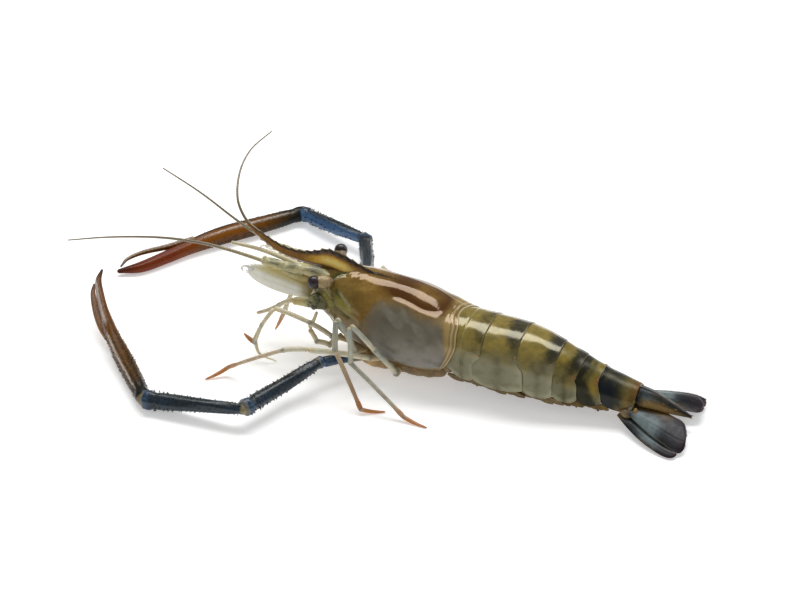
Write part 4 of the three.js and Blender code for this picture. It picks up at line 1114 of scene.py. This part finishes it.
print("head")
eyePaint, stalkPaint = paint("eyePaint", head["eyeLook"]), paint("stalkPaint", head["stalkLook"])
stemPaint, scalePaint = paint("stemPaint", head["stemLook"]), paint("scalePaint", head["scaleLook"])
for side, sign in (("left", -1), ("right", 1)):
    place(f"eye_{side}_cornea", makeEye(side), eyePaint, [f"eye_{side}"])
    place(f"eyeStalk_{side}", makeStalk(side), stalkPaint, [f"eye_stalk_{side}"])
    place(f"antennaStem_{side}", makeStem(sign), stemPaint, [f"antenna_stem_{side}"])
    antennule = makeAntennule(sign)
    place(f"antennuleStem_{side}", antennule, stemPaint, [f"antennule_stem_{side}"])
    place(f"antennaScale_{side}", makeScale(sign), scalePaint, [f"antenna_scale_{side}"])

# Feelers: thin ringed whips

feelers = {  # each by radius at the root, radius at the tip, route
    "left_long": (0.95, 0.3, ((-89.8, -7, 42.2), (-106, -8, 44.6), (-122, -8, 45.1), (-143, -8, 42.9),
                              (-171, -6, 35.5), (-195.8, -4, 27))),
    "left_short": (1.4, 0.8, ((-73, -4.4, 42.3), (-80, -3.4, 43.4), (-93, -3, 45.2), (-107.2, -3, 45.7))),
    "right_rising": (0.9, 0.3, ((-90, 6.3, 43.4), (-98, 4, 48.5), (-107, 2.5, 54.2), (-125, 2, 65.3),
                                (-144, 2, 74.2))),
    "right_curled": (0.9, 0.3, ((-90.4, 8.2, 42.6), (-98.5, 6.5, 48), (-105.5, 7, 53.6), (-111, 11, 60.5),
                                (-116, 24, 67), (-117, 38, 71.5), (-113, 52, 75))),
}
feelerRing = 0.9  # length of one ring
feelerLook = {
    "base": "82735a", "rough": 0.4, "coat": 0.4, "grain": 0.8, "dents": 0.2,
    "mottle": [("a39473", 3.0, 0.5)],
    "layers": [("root", "c4b485", 0.4, 3.0), ("ring", "54462f", 0.2, 0.5), ("light", "d8cba6", 0.4, 3.0)],
}
print("feelers")
feelerPaint = paint("feelerPaint", feelerLook)
for name, (thick, thin, stops) in feelers.items():
    last = len(stops) - 1
    path, radii = resample([(p, thick + (thin - thick) * k / last) for k, p in enumerate(stops)], 320)
    shape = Shape()
    turns = np.linalg.norm(np.diff(path, axis=0), axis=1).sum() / feelerRing
    wave = lambda a: np.sin(a * turns * 2 * pi)
    tube(shape, path, radii, sides=12, relief=lambda a, t: 0.05 * wave(a),
         root=lambda a, t: ease(0.3, 0.0, a) * 0.8, ring=lambda a, t: 0.5 * ease(0.2, -1, wave(a)),
         light=1.0 if name == "left_short" else 0.0)
    place(f"feeler_{name}_whip", shape, feelerPaint, [f"feeler_{name}"])

# Great claws

claws = {
    "left": {
        "ischium": (((-36.5, -12, 7.6), 2.2), ((-44, -20.5, 9.2), 2.4), ((-52.5, -30.6, 11.1), 2.7)),
        "merus": (((-52.5, -30.8, 10.9), 2.8), ((-60.4, -50.6, 9.6), 3.4), ((-68.9, -71.9, 9), 3.8)),
        "carpus": (((-68.9, -72.8, 9.1), 2.6), ((-89.2, -74.8, 7), 3.2), ((-103, -75.8, 5.2), 3.9),
                   ((-115.4, -76.8, 4.2), 4.3)),
        "hand": (((-115.6, -76.8, 4.1), 3.5), ((-138.3, -54.7, 5), 4.1), ((-150.8, -43, 7.6), 3.4),
                 ((-162.7, -30, 11), 2.2), ((-168.7, -22.7, 14.5), 1.9), ((-173, -16.2, 17), 1.5),
                 ((-173.6, -11.6, 19.6), 0.6)),
        "finger": (((-154, -42.4, 5.6), 1.8), ((-160.6, -36.2, 6.4), 2.1), ((-168.6, -27.5, 8), 1.8),
                   ((-175.3, -18.5, 10.5), 1.2), ((-176.7, -14.8, 12.5), 0.6)),
    },
    "right": {
        "ischium": (((-36.5, 12, 7.6), 2.2), ((-46, 22, 12), 2.4), ((-56.4, 33.5, 16.1), 2.7)),
        "merus": (((-56.4, 33.5, 16.1), 2.8), ((-66, 56, 12), 3.2), ((-77.6, 80.2, 8.2), 3.5)),
        "carpus": (((-77.4, 80, 8.1), 2.8), ((-99, 87.6, 6.6), 3.7), ((-119, 96.6, 4.6), 3.8)),
        "hand": (((-119, 97.6, 4.4), 3.6), ((-136.3, 74.8, 4.7), 4.7), ((-147.9, 60.5, 4.6), 4.6),
                 ((-158.1, 45.8, 3.8), 3.8), ((-164.7, 33.6, 3.3), 3.3), ((-172.2, 21.4, 2.8), 2.8),
                 ((-180.5, 14.9, 2.2), 1.2)),
        "finger": (((-157.2, 48.2, 7.4), 1.5), ((-166.7, 38.7, 6), 1.5), ((-176.1, 30.2, 5.2), 1.2),
                   ((-180.7, 23.1, 4.4), 0.9), ((-180.8, 17, 3.8), 0.5)),
    },
    # spines: rows, spacing, (radius, length)
    "armSpines": (10, 2.2, (0.38, 1.05)),
    "palmSpines": {"left": (14, 1.9, (0.3, 0.85)), "right": (9, 1.9, (0.3, 0.5))},
    "thumbSpines": (8, 1.6, (0.13, 0.32)), "fingerSpines": (8, 1.5, (0.12, 0.3)),
    "palm": 0.58, "palmHairs": (350, 1.0),  # share of the hand's length; count and length
    "blue": {"left": (0.38, 0.08, 0.05), "right": (0.3, 0.05, 0.95)},  # strength on the three arm joints
    "ridge": {"left": 0.73, "right": 1.06},  # angle of the low ridge on the palm, which carries a painted highlight
    "armLook": {
        "base": "0a1518", "rough": 0.18, "shine": 0.38, "grain": 1.3, "dents": 0.3, "pits": 0.45,
        # the finest pale grey mottle stands for tiny glints on the granules, a painted highlight
        "mottle": [("07090a", 5.0, 0.7), ("1b3344", 3.5, 0.6), ("141c14", 2.0, 0.5), ("74858f", 0.6, 0.12)],
        "layers": [("blue", "3f628a", 0.8, 1.2), ("knob", "2b4258", 0.5, 1.5), ("joint", "9c8c62", 0.4, 1.0),
                   ("spine", "050607", 0.2, 0.5)],
    },
    "handLook": {
        "base": "4a3110", "rough": 0.26, "shine": 0.16, "grain": 1.4, "dents": 0.25, "pits": 0.3,
        "mottle": [("33220a", 6.0, 0.6), ("7a521b", 3.0, 0.6), ("2a210e", 1.6, 0.35)],
        "layers": [
            ("rust", "875010", 0.7, 4.0), ("red", "702a0e", 0.6, 4.0), ("wrist", "161c18", 0.7, 3.0),
            ("grey", "c8bbae", 0.9, 1.2), ("joint", "9a8560", 0.4, 1.0), ("tip", "35190b", 0.5, 1.5),
            ("spine", "0f0804", 0.2, 0.5), ("hair", "75614c", 0.2, 0.5),
        ],
    },
}


def frames(path):
    heading = unit(np.gradient(path, axis=0))
    across = unit(np.cross((0, 0, 1.0), heading))
    return heading, across, np.cross(heading, across)


def spineRows(shape, path, radii, spines, seed, **masks):
    rows, spacing, (thick, length) = spines
    dice = np.random.default_rng(seed)
    heading, across, rise = frames(path)
    far = np.r_[0, np.cumsum(np.linalg.norm(np.diff(path, axis=0), axis=1))]
    base, aim, grow = [], [], []
    for row in range(rows):
        turn = 2 * pi * (row + 0.5) / rows + dice.normal(0, 0.06)
        at = np.arange(far[-1] * 0.04 + spacing * dice.random(), far[-1] * 0.97, spacing)
        at = at + dice.normal(0, spacing * 0.18, len(at))
        k = np.clip(np.searchsorted(far, at), 0, len(far) - 1)
        jig = turn + dice.normal(0, 0.12, len(at))
        out = across[k] * np.cos(jig)[:, None] + rise[k] * np.sin(jig)[:, None]
        base.append(path[k] + out * (radii[k] * 0.97)[:, None])
        aim.append(out + heading[k] * 0.5)
        grow.append(dice.uniform(0.55, 1.15, len(at)) * np.clip(radii[k] / radii.max(), 0.3, 1))
    base, aim, grow = np.vstack(base), np.vstack(aim), np.concatenate(grow)
    keep = base[:, 2] > 0.9
    spikes(shape, base[keep], aim[keep], thick * grow[keep], length * grow[keep], sides=6, **masks)


def makeArm(stops, seed, joint, strength):
    shape = Shape()
    path, radii = resample(stops, 90)
    root = joint == "ischium"

    def relief(a, t):
        lumps = 0.12 * np.sin(3 * t + seed) * np.sin(9 * a + seed) + 0.1 * np.sin(5 * t - 7 * a)
        return lumps + (0.35 * hump(a, 0.955, 0.03) - 0.3 * hump(a, 0.89, 0.03) - 0.25 * hump(a, 0.05, 0.04))

    def pale(a, t):
        start = ease(0.55, 0.1, a) * 0.9 if root else ease(0.02, 0.0, a) * 0.7
        return np.clip(ease(0.99, 1.0, a) * 0.4 + start, 0, 1)

    def blue(a, t):
        return np.clip(strength * ease(0.0, 0.8, np.cos(t + 0.2)) + 0.4 * ease(0.88, 1, a), 0, 1)

    tube(shape, path, radii * 0.97, sides=40, ends=(0.45, 0.4), relief=relief, joint=pale, blue=blue)
    heading, across, rise = frames(path)
    soft = np.array((0.86, 0.86, 0.8)) * radii[0]  # skin of the joint before it
    ball(shape, path[0] - heading[0] * 0.3, soft, axis=heading[0], joint=0.8)
    if not root:  # pair of hinge knobs at the far end
        for sign in (-1, 1):
            at = path[-4] + across[-4] * sign * radii[-4] * 0.72 + rise[-4] * radii[-4] * 0.35
            ball(shape, at, np.array((0.34, 0.34, 0.5)) * radii[-4], axis=heading[-4], knob=0.9)
        spineRows(shape, path, radii, claws["armSpines"], seed, spine=1.0)
    return shape


def felt(shape, path, radii, count, length, seed):  # fine hairs along the outer side
    dice = np.random.default_rng(seed)
    heading, across, rise = frames(path)
    k = dice.integers(2, len(path) - 2, count)
    turn = dice.normal(-0.1, 0.3, count)
    out = across[k] * np.cos(turn)[:, None] + rise[k] * np.sin(turn)[:, None]
    base = path[k] + out * (radii[k] * 0.96)[:, None]
    keep = base[:, 2] > 1.0
    aim = out + heading[k] * 0.7 + dice.normal(0, 0.25, (count, 3))
    spikes(shape, base[keep], aim[keep], 0.06, length * dice.uniform(0.4, 1, count)[keep], sides=3, hair=1.0)


def makeHand(stops, seed, side):
    shape = Shape()
    path, radii = resample(stops, 150)
    left = side == "left"
    farEdge, shadedEdge = 2.35, -0.45  # angles of the dark far edge and of the painted shade along the lower edge

    def ridge(a, t):
        return hump(t, claws["ridge"][side], 0.14) * ease(0.04, 0.12, a) * ease(0.6, 0.48, a)

    def relief(a, t):
        groove = -0.25 * hump(np.cos(t - 1.2), 1, 0.02) * ease(0.5, 0.65, a)
        lumps = 0.1 * np.sin(4 * t + 11 * a) * ease(0.7, 0.4, a)
        return groove + lumps + 0.25 * ridge(a, t) + 0.3 * hump(a, 0.03, 0.02) - 0.25 * hump(a, 0.07, 0.02)

    def rust(a, t):
        if left:
            return 0.35 * ease(0.2, 0.55, a)
        return 0.9 * ease(0.1, 0.4, a) * (0.35 + 0.65 * ease(-0.3, 0.6, np.cos(t)))

    def wrist(a, t):
        far = (0.2 if left else 0.75) * hump(np.cos(t - farEdge), 1, 0.3) * ease(0.8, 0.5, a)
        # a dark band along the lower edge is painted shade
        low = (0 if left else 0.7) * hump(np.cos(t - shadedEdge), 1, 0.25) * ease(0.7, 0.5, a)
        return np.clip(ease(0.2, 0.02, a) + far + low, 0, 1)

    # pale paint along the palm's ridge and on the thumb is a painted highlight
    def grey(a, t):
        thumbHighlight = 0.8 * left * hump(t, 0.9, 0.4) * ease(0.58, 0.68, a) * ease(0.99, 0.9, a)
        return np.clip((1.0 if left else 0.65) * ridge(a, t) + thumbHighlight, 0, 1)

    tube(shape, path, radii * 0.97, sides=72, ends=(0.4, 1.2), relief=relief,
         rust=rust, wrist=wrist, grey=grey,
         red=lambda a, t: (0.15 if left else 0.9) * ease(0.5, 0.75, a),
         joint=lambda a, t: ease(0.015, 0.0, a) * 0.7, tip=lambda a, t: ease(0.9, 1, a) * 0.7)
    heading = frames(path)[0]
    soft = np.array((0.9, 0.9, 0.8)) * radii[0]
    ball(shape, path[0] - heading[0] * 0.2, soft, axis=heading[0], joint=0.7, wrist=0.3)
    end = int(len(path) * claws["palm"])
    spineRows(shape, path[:end], radii[:end], claws["palmSpines"][side], seed, spine=1.0 if left else 0.6)
    spineRows(shape, path[end:], radii[end:], claws["thumbSpines"], seed + 1, spine=0.7)
    if left:
        felt(shape, path[:end], radii[:end], *claws["palmHairs"], seed + 2)
    return shape


def makeFinger(stops, seed, side):
    shape = Shape()
    path, radii = resample(stops, 90)
    left = side == "left"
    # the pale band along the finger's upper side is a painted highlight
    tube(shape, path, radii, sides=36, flat=0.95, ends=(0.6, 1.4),
         relief=lambda a, t: -0.15 * hump(np.cos(t - 1.0), 1, 0.03),
         rust=0.7 if left else 0.35, grey=lambda a, t: (0.25 if left else 0.6) * hump(np.sin(t), 1, 0.3),
         tip=lambda a, t: ease(0.85, 1, a) * 0.7, joint=lambda a, t: 0.7 * ease(0.04, 0.0, a))
    spineRows(shape, path, radii, claws["fingerSpines"], seed, spine=0.7)
    return shape


print("claws")
armPaint, handPaint = paint("armPaint", claws["armLook"]), paint("handPaint", claws["handLook"])
for side, seed in (("left", 100), ("right", 120)):
    for k, joint in enumerate(("ischium", "merus", "carpus")):
        shape = makeArm(claws[side][joint], seed + k, joint, claws["blue"][side][k])
        place(f"claw_{joint}_{side}_shell", shape, armPaint, [f"claw_{joint}_{side}"])
    hand = makeHand(claws[side]["hand"], seed + 5, side)
    place(f"claw_hand_{side}_shell", hand, handPaint, [f"claw_hand_{side}"])
    finger = makeFinger(claws[side]["finger"], seed + 9, side)
    place(f"claw_finger_{side}_shell", finger, handPaint, [f"claw_finger_{side}"])

# Walking legs, front nippers and mouth legs

legs = {
    # each by blue above the knee, brown below it, rusty tip; then the stops of its upper and lower part
    "leg_rear_left": (
        (0.8, 0.25, 1),
        (((-20, -10, 6.4), 1.9), ((-20.5, -16.6, 4.8), 1.7), ((-28, -24, 20), 1.4),
         ((-35.3, -30.8, 34.6), 1.3)),
        (((-36.2, -32, 34.4), 1.3), ((-34.6, -35, 18.3), 1.2), ((-6.3, -42.5, 2), 0.9),
         ((5.1, -44, 0.4), 0.4))),
    "leg_middle_left": (
        (0.85, 0.9, 1),
        (((-37, -10, 9), 1.8), ((-40, -17.6, 12.6), 1.5), ((-44.2, -26.4, 33.2), 1.3)),
        (((-44.9, -27.8, 33), 1.3), ((-43, -33, 21.8), 1.2), ((-25.7, -44.7, 2), 0.9),
         ((-16.1, -40.2, 0.4), 0.4))),
    "leg_front_left": (
        (0.3, 0.55, 1),
        (((-27, -10, 6.6), 1.8), ((-33, -18, 10.6), 1.6), ((-53, -37.4, 22), 1.3)),
        (((-54.4, -38.4, 22.6), 1.3), ((-63.6, -43, 22.7), 1.2), ((-92.8, -40.3, 4), 0.9),
         ((-100.6, -48.3, 0.4), 0.4))),
    "leg_rear_right": (
        (0.6, 0.2, 1),
        (((-20, 10, 6.4), 1.9), ((-20.5, 17, 5.4), 1.7), ((-31, 27.6, 23), 1.3)),
        (((-31.8, 28.8, 22.8), 1.3), ((-27, 34, 14), 1.2), ((-6, 43, 2), 0.9), ((4, 46, 0.4), 0.4))),
    "leg_middle_right": (
        (0.6, 0.5, 1),
        (((-37, 10, 9), 1.8), ((-40, 17.6, 12.6), 1.5), ((-44.8, 26, 29.6), 1.3)),
        (((-45.4, 27.4, 29.4), 1.3), ((-42, 33, 19), 1.2), ((-25, 45, 2), 0.9), ((-15, 44, 0.4), 0.4))),
    "leg_front_right": (
        (0.3, 0.3, 1),
        (((-27, 10, 6.6), 1.8), ((-33, 18, 8.4), 1.6), ((-44, 33, 17), 1.3)),
        (((-45, 34.2, 17), 1.3), ((-47, 40, 12), 1.2), ((-38, 54, 2), 0.9), ((-32, 60, 0.4), 0.4))),
    "nipper_left": (
        (0.1, 0.0, 1),
        (((-47.5, -8.6, 10.6), 1.6), ((-53.2, -14, 14.7), 1.4), ((-62.1, -18, 22.2), 1.3),
         ((-77.6, -19.8, 26.9), 1.2)),
        (((-79.2, -20.4, 26.2), 1.2), ((-84.5, -22, 17.9), 1.1), ((-88, -23.5, 8.6), 1.3),
         ((-92.8, -24, 12.4), 0.4))),
    "nipper_right": (
        (0.2, 0.7, 0.6),
        (((-47.5, 8.6, 10.6), 1.6), ((-56, 11, 16), 1.4), ((-78.5, 4, 24.5), 1.2)),
        (((-80.2, 3, 23.6), 1.2), ((-84.2, 1.6, 11.8), 1.3), ((-88.8, -0.6, 0.6), 0.5))),
    "mouth_leg_left": (
        (0.0, 0.0, 0),
        (((-52, -6.4, 10.8), 1.5), ((-56, -10.4, 7), 1.4), ((-61.5, -12.4, 8.6), 1.3),
         ((-64.6, -12.4, 13.8), 1.2)),
        (((-65, -12, 15.4), 1.2), ((-62.6, -9.8, 22.4), 0.8))),
    "mouth_leg_right": (
        (0.2, 0.1, 0),
        (((-60, 1.5, 19.6), 1.8), ((-67, -2.6, 23.4), 1.7), ((-75.7, -4.6, 23), 1.5)),
        (((-77.2, -4.6, 22.6), 1.4), ((-84, -4.8, 18.4), 1.2), ((-94.5, -6, 12.2), 0.9))),
}
nipperThumb = (((-87.6, -23.4, 9.4), 0.9), ((-84.7, -25.2, 4.0), 0.7), ((-77.3, -23.6, 0.7), 0.35))
legRows, legHairs = 40, 26  # for each joint
legLook = {
    "base": "e2d8ba", "rough": 0.32, "flesh": 0.5, "fleshDepth": (1.2, 1.05, 0.8),
    "grain": 1.6, "dents": 0.2, "pits": 0.08,
    "mottle": [("b3a682", 4.0, 0.45), ("e8dfc6", 2.0, 0.5)],
    "layers": [
        ("blue", "8d9892", 0.6, 3.0), ("brown", "96694a", 0.6, 3.0), ("joint", "d0bb8c", 0.5, 1.0),
        ("tip", "bc7c3e", 0.6, 2.0), ("claw", "96592a", 0.4, 1.0), ("hair", "a8966e", 0.2, 0.5),
    ],
}


def legJoint(shape, path, r, k, tones, lower, last, ankle):
    blue, brown, rusty = tones
    tone = brown if lower and k > 0 else 0

    def bluish(a, t):
        along = 1 - 0.4 * a if lower else (0.3 + 0.7 * ease(0.1, 0.9, a)) * (k > 0)
        return (0 if tone > 0.5 else blue) * along

    def pale(a, t):
        ends = ease(0.96, 1.0, a) * 0.45 * (not last) + 0.4 * ease(0.04, 0, a)
        return np.clip(ends + (0 if lower or k else 0.6), 0, 1)

    def rust(a, t):
        return 0.9 * rusty * ease(-0.1, 0.2, a) if last else 0.7 * ankle * ease(0.75, 1, a)

    tube(shape, path, r, sides=20, flat=0.86, ends=(0.5, 0.9), blue=bluish, joint=pale, tip=rust,
         brown=lambda a, t: tone * (0.4 + 0.6 * a),
         claw=lambda a, t: 0.8 * rusty * ease(0.75, 1, a) if last else 0.0)


def makeLeg(stops, tones, lower, seed, walking):
    shape = Shape()
    points = [np.array(p, float) for p, _ in stops]
    radii = [r for _, r in stops]
    count = len(stops) - 1
    for k in range(count):
        last = lower and k == count - 1
        ankle = walking and lower and k == count - 2
        s = np.linspace(0, 1, legRows)
        bow = 0.35 * np.sin(pi * s)[:, None] * np.array((0, 0, -1.4 if last else 1.0))
        path = points[k] + (points[k + 1] - points[k]) * s[:, None] + bow
        path[:, 2] = np.maximum(path[:, 2], 0.45 if last else 0.9)
        r = radii[k] + (radii[k + 1] - radii[k]) * s
        knee = 0 if last else (0.35 if ankle else 0.12) * hump(s, 0.94, 0.07)
        r = r * (1 - 0.1 * hump(s, 0.12, 0.1) + knee)
        if last and tones[2]:
            r = np.maximum(0.2, radii[k] * ((1.25 if walking else 1.05) - 0.4 * s - 0.5 * s**4))
        legJoint(shape, path, r, k, tones, lower, last, ankle)
        if k < count - 1:
            ball(shape, points[k + 1], (r[-1] * 0.96,) * 3, rows=10, cols=14, joint=0.4, blue=tones[0] * 0.7)
        dice = np.random.default_rng(seed + k)
        j = dice.integers(3, legRows - 3, legHairs)
        out = unit(dice.normal(size=(legHairs, 3)))
        ahead = unit(points[k + 1] - points[k])
        out = unit(out - ahead * (out @ ahead)[:, None])
        base = path[j] + out * (r[j] * 0.8)[:, None]
        length = 0.7 * dice.uniform(0.5, 1, legHairs)
        keep = base[:, 2] > 0.7
        spikes(shape, base[keep], (out + ahead * 1.2)[keep], 0.07, length[keep], sides=3, hair=1.0)
    return shape


print("legs")
legPaint = paint("legPaint", legLook)
for n, (leg, (tones, upper, lower)) in enumerate(legs.items()):
    walking = leg.startswith("leg_")
    shape = makeLeg(upper, tones, False, 200 + 8 * n, walking)
    place(f"{leg}_upper_shell", shape, legPaint, [f"{leg}_upper"])
    shape = makeLeg(lower, tones, True, 204 + 8 * n, walking)
    if leg == "nipper_left":  # its pale thumb
        tube(shape, *resample(nipperThumb, 30), sides=14, flat=0.8)
    place(f"{leg}_lower_shell", shape, legPaint, [f"{leg}_lower"])

# Stage, lights and camera

stage = {
    # metres, apart from the camera's place
    "floor": "f4f4f3", "floorGlow": 0.4, "floorHalf": 6, "floorDrop": 0.0001, "world": 0.3,
    "key": {"at": (-0.20, 0.57, 1.25), "along": (0.93, 0.37, 0), "size": (1.45, 0.52), "watts": 17.0},
    "rim": {"at": (0.9, 1.2, 0.7), "along": (1, -0.6, 0), "size": (0.9, 0.4), "watts": 4},
    "camera": {"at": (246.9, -657.8, 495.1), "azimuth": 22.5, "elevation": 33.0, "lens": 85, "sensor": 36},
}


def makeLight(name, spec):
    lamp = bpy.data.lights.new(name, "AREA")
    lamp.shape, lamp.size, lamp.size_y, lamp.energy = "RECTANGLE", *spec["size"], spec["watts"]
    holder = bpy.data.objects.new(name, lamp)
    back = Vector(spec["at"]).normalized()  # faces the prawn
    side = Vector(spec["along"])
    side = (side - back * side.dot(back)).normalized()
    turn = Matrix((side, back.cross(side), back)).transposed().to_4x4()
    holder.matrix_world = Matrix.Translation(Vector(spec["at"])) @ turn
    bpy.context.collection.objects.link(holder)


def makeFloor():
    material = bpy.data.materials.new("paperFloor")
    material.use_nodes = True
    shader = material.node_tree.nodes["Principled BSDF"]
    shader.inputs["Base Color"].default_value = colour(stage["floor"])
    shader.inputs["Roughness"].default_value = 0.9
    shader.inputs["Specular IOR Level"].default_value = 0.1
    shader.inputs["Emission Color"].default_value = (1, 1, 1, 1)  # lit from behind like a light table
    shader.inputs["Emission Strength"].default_value = stage["floorGlow"]
    mesh = bpy.data.meshes.new("floor")
    h = stage["floorHalf"]
    mesh.from_pydata([(-h, -h, 0), (h, -h, 0), (h, h, 0), (-h, h, 0)], [], [(0, 1, 2, 3)])
    mesh.materials.append(material)
    floor = bpy.data.objects.new("floor", mesh)
    floor.location.z = -stage["floorDrop"]
    bpy.context.collection.objects.link(floor)


def makeCamera():
    spec = stage["camera"]
    a, e = math.radians(spec["azimuth"]), math.radians(spec["elevation"])
    back = Vector((math.sin(a) * math.cos(e), -math.cos(a) * math.cos(e), math.sin(e)))
    right = Vector((math.cos(a), math.sin(a), 0))
    up = back.cross(right)
    camera = bpy.data.cameras.new("camera")
    camera.lens, camera.sensor_width, camera.clip_start = spec["lens"], spec["sensor"], 0.01
    holder = bpy.data.objects.new("camera", camera)
    turn = Matrix((right, up, back)).transposed().to_4x4()
    holder.matrix_world = Matrix.Translation(Vector((np.array(spec["at"]) + origin) * mm)) @ turn
    bpy.context.collection.objects.link(holder)
    bpy.context.scene.camera = holder


print("stage")
for name in ("key", "rim"):
    makeLight(name, stage[name])
makeFloor()
makeCamera()
world = bpy.data.worlds.new("studio")
bpy.context.scene.world = world
world.use_nodes = True
world.node_tree.nodes["Background"].inputs["Color"].default_value = (1, 1, 1, 1)
world.node_tree.nodes["Background"].inputs["Strength"].default_value = stage["world"]
bpy.context.scene.view_settings.view_transform = "Standard"
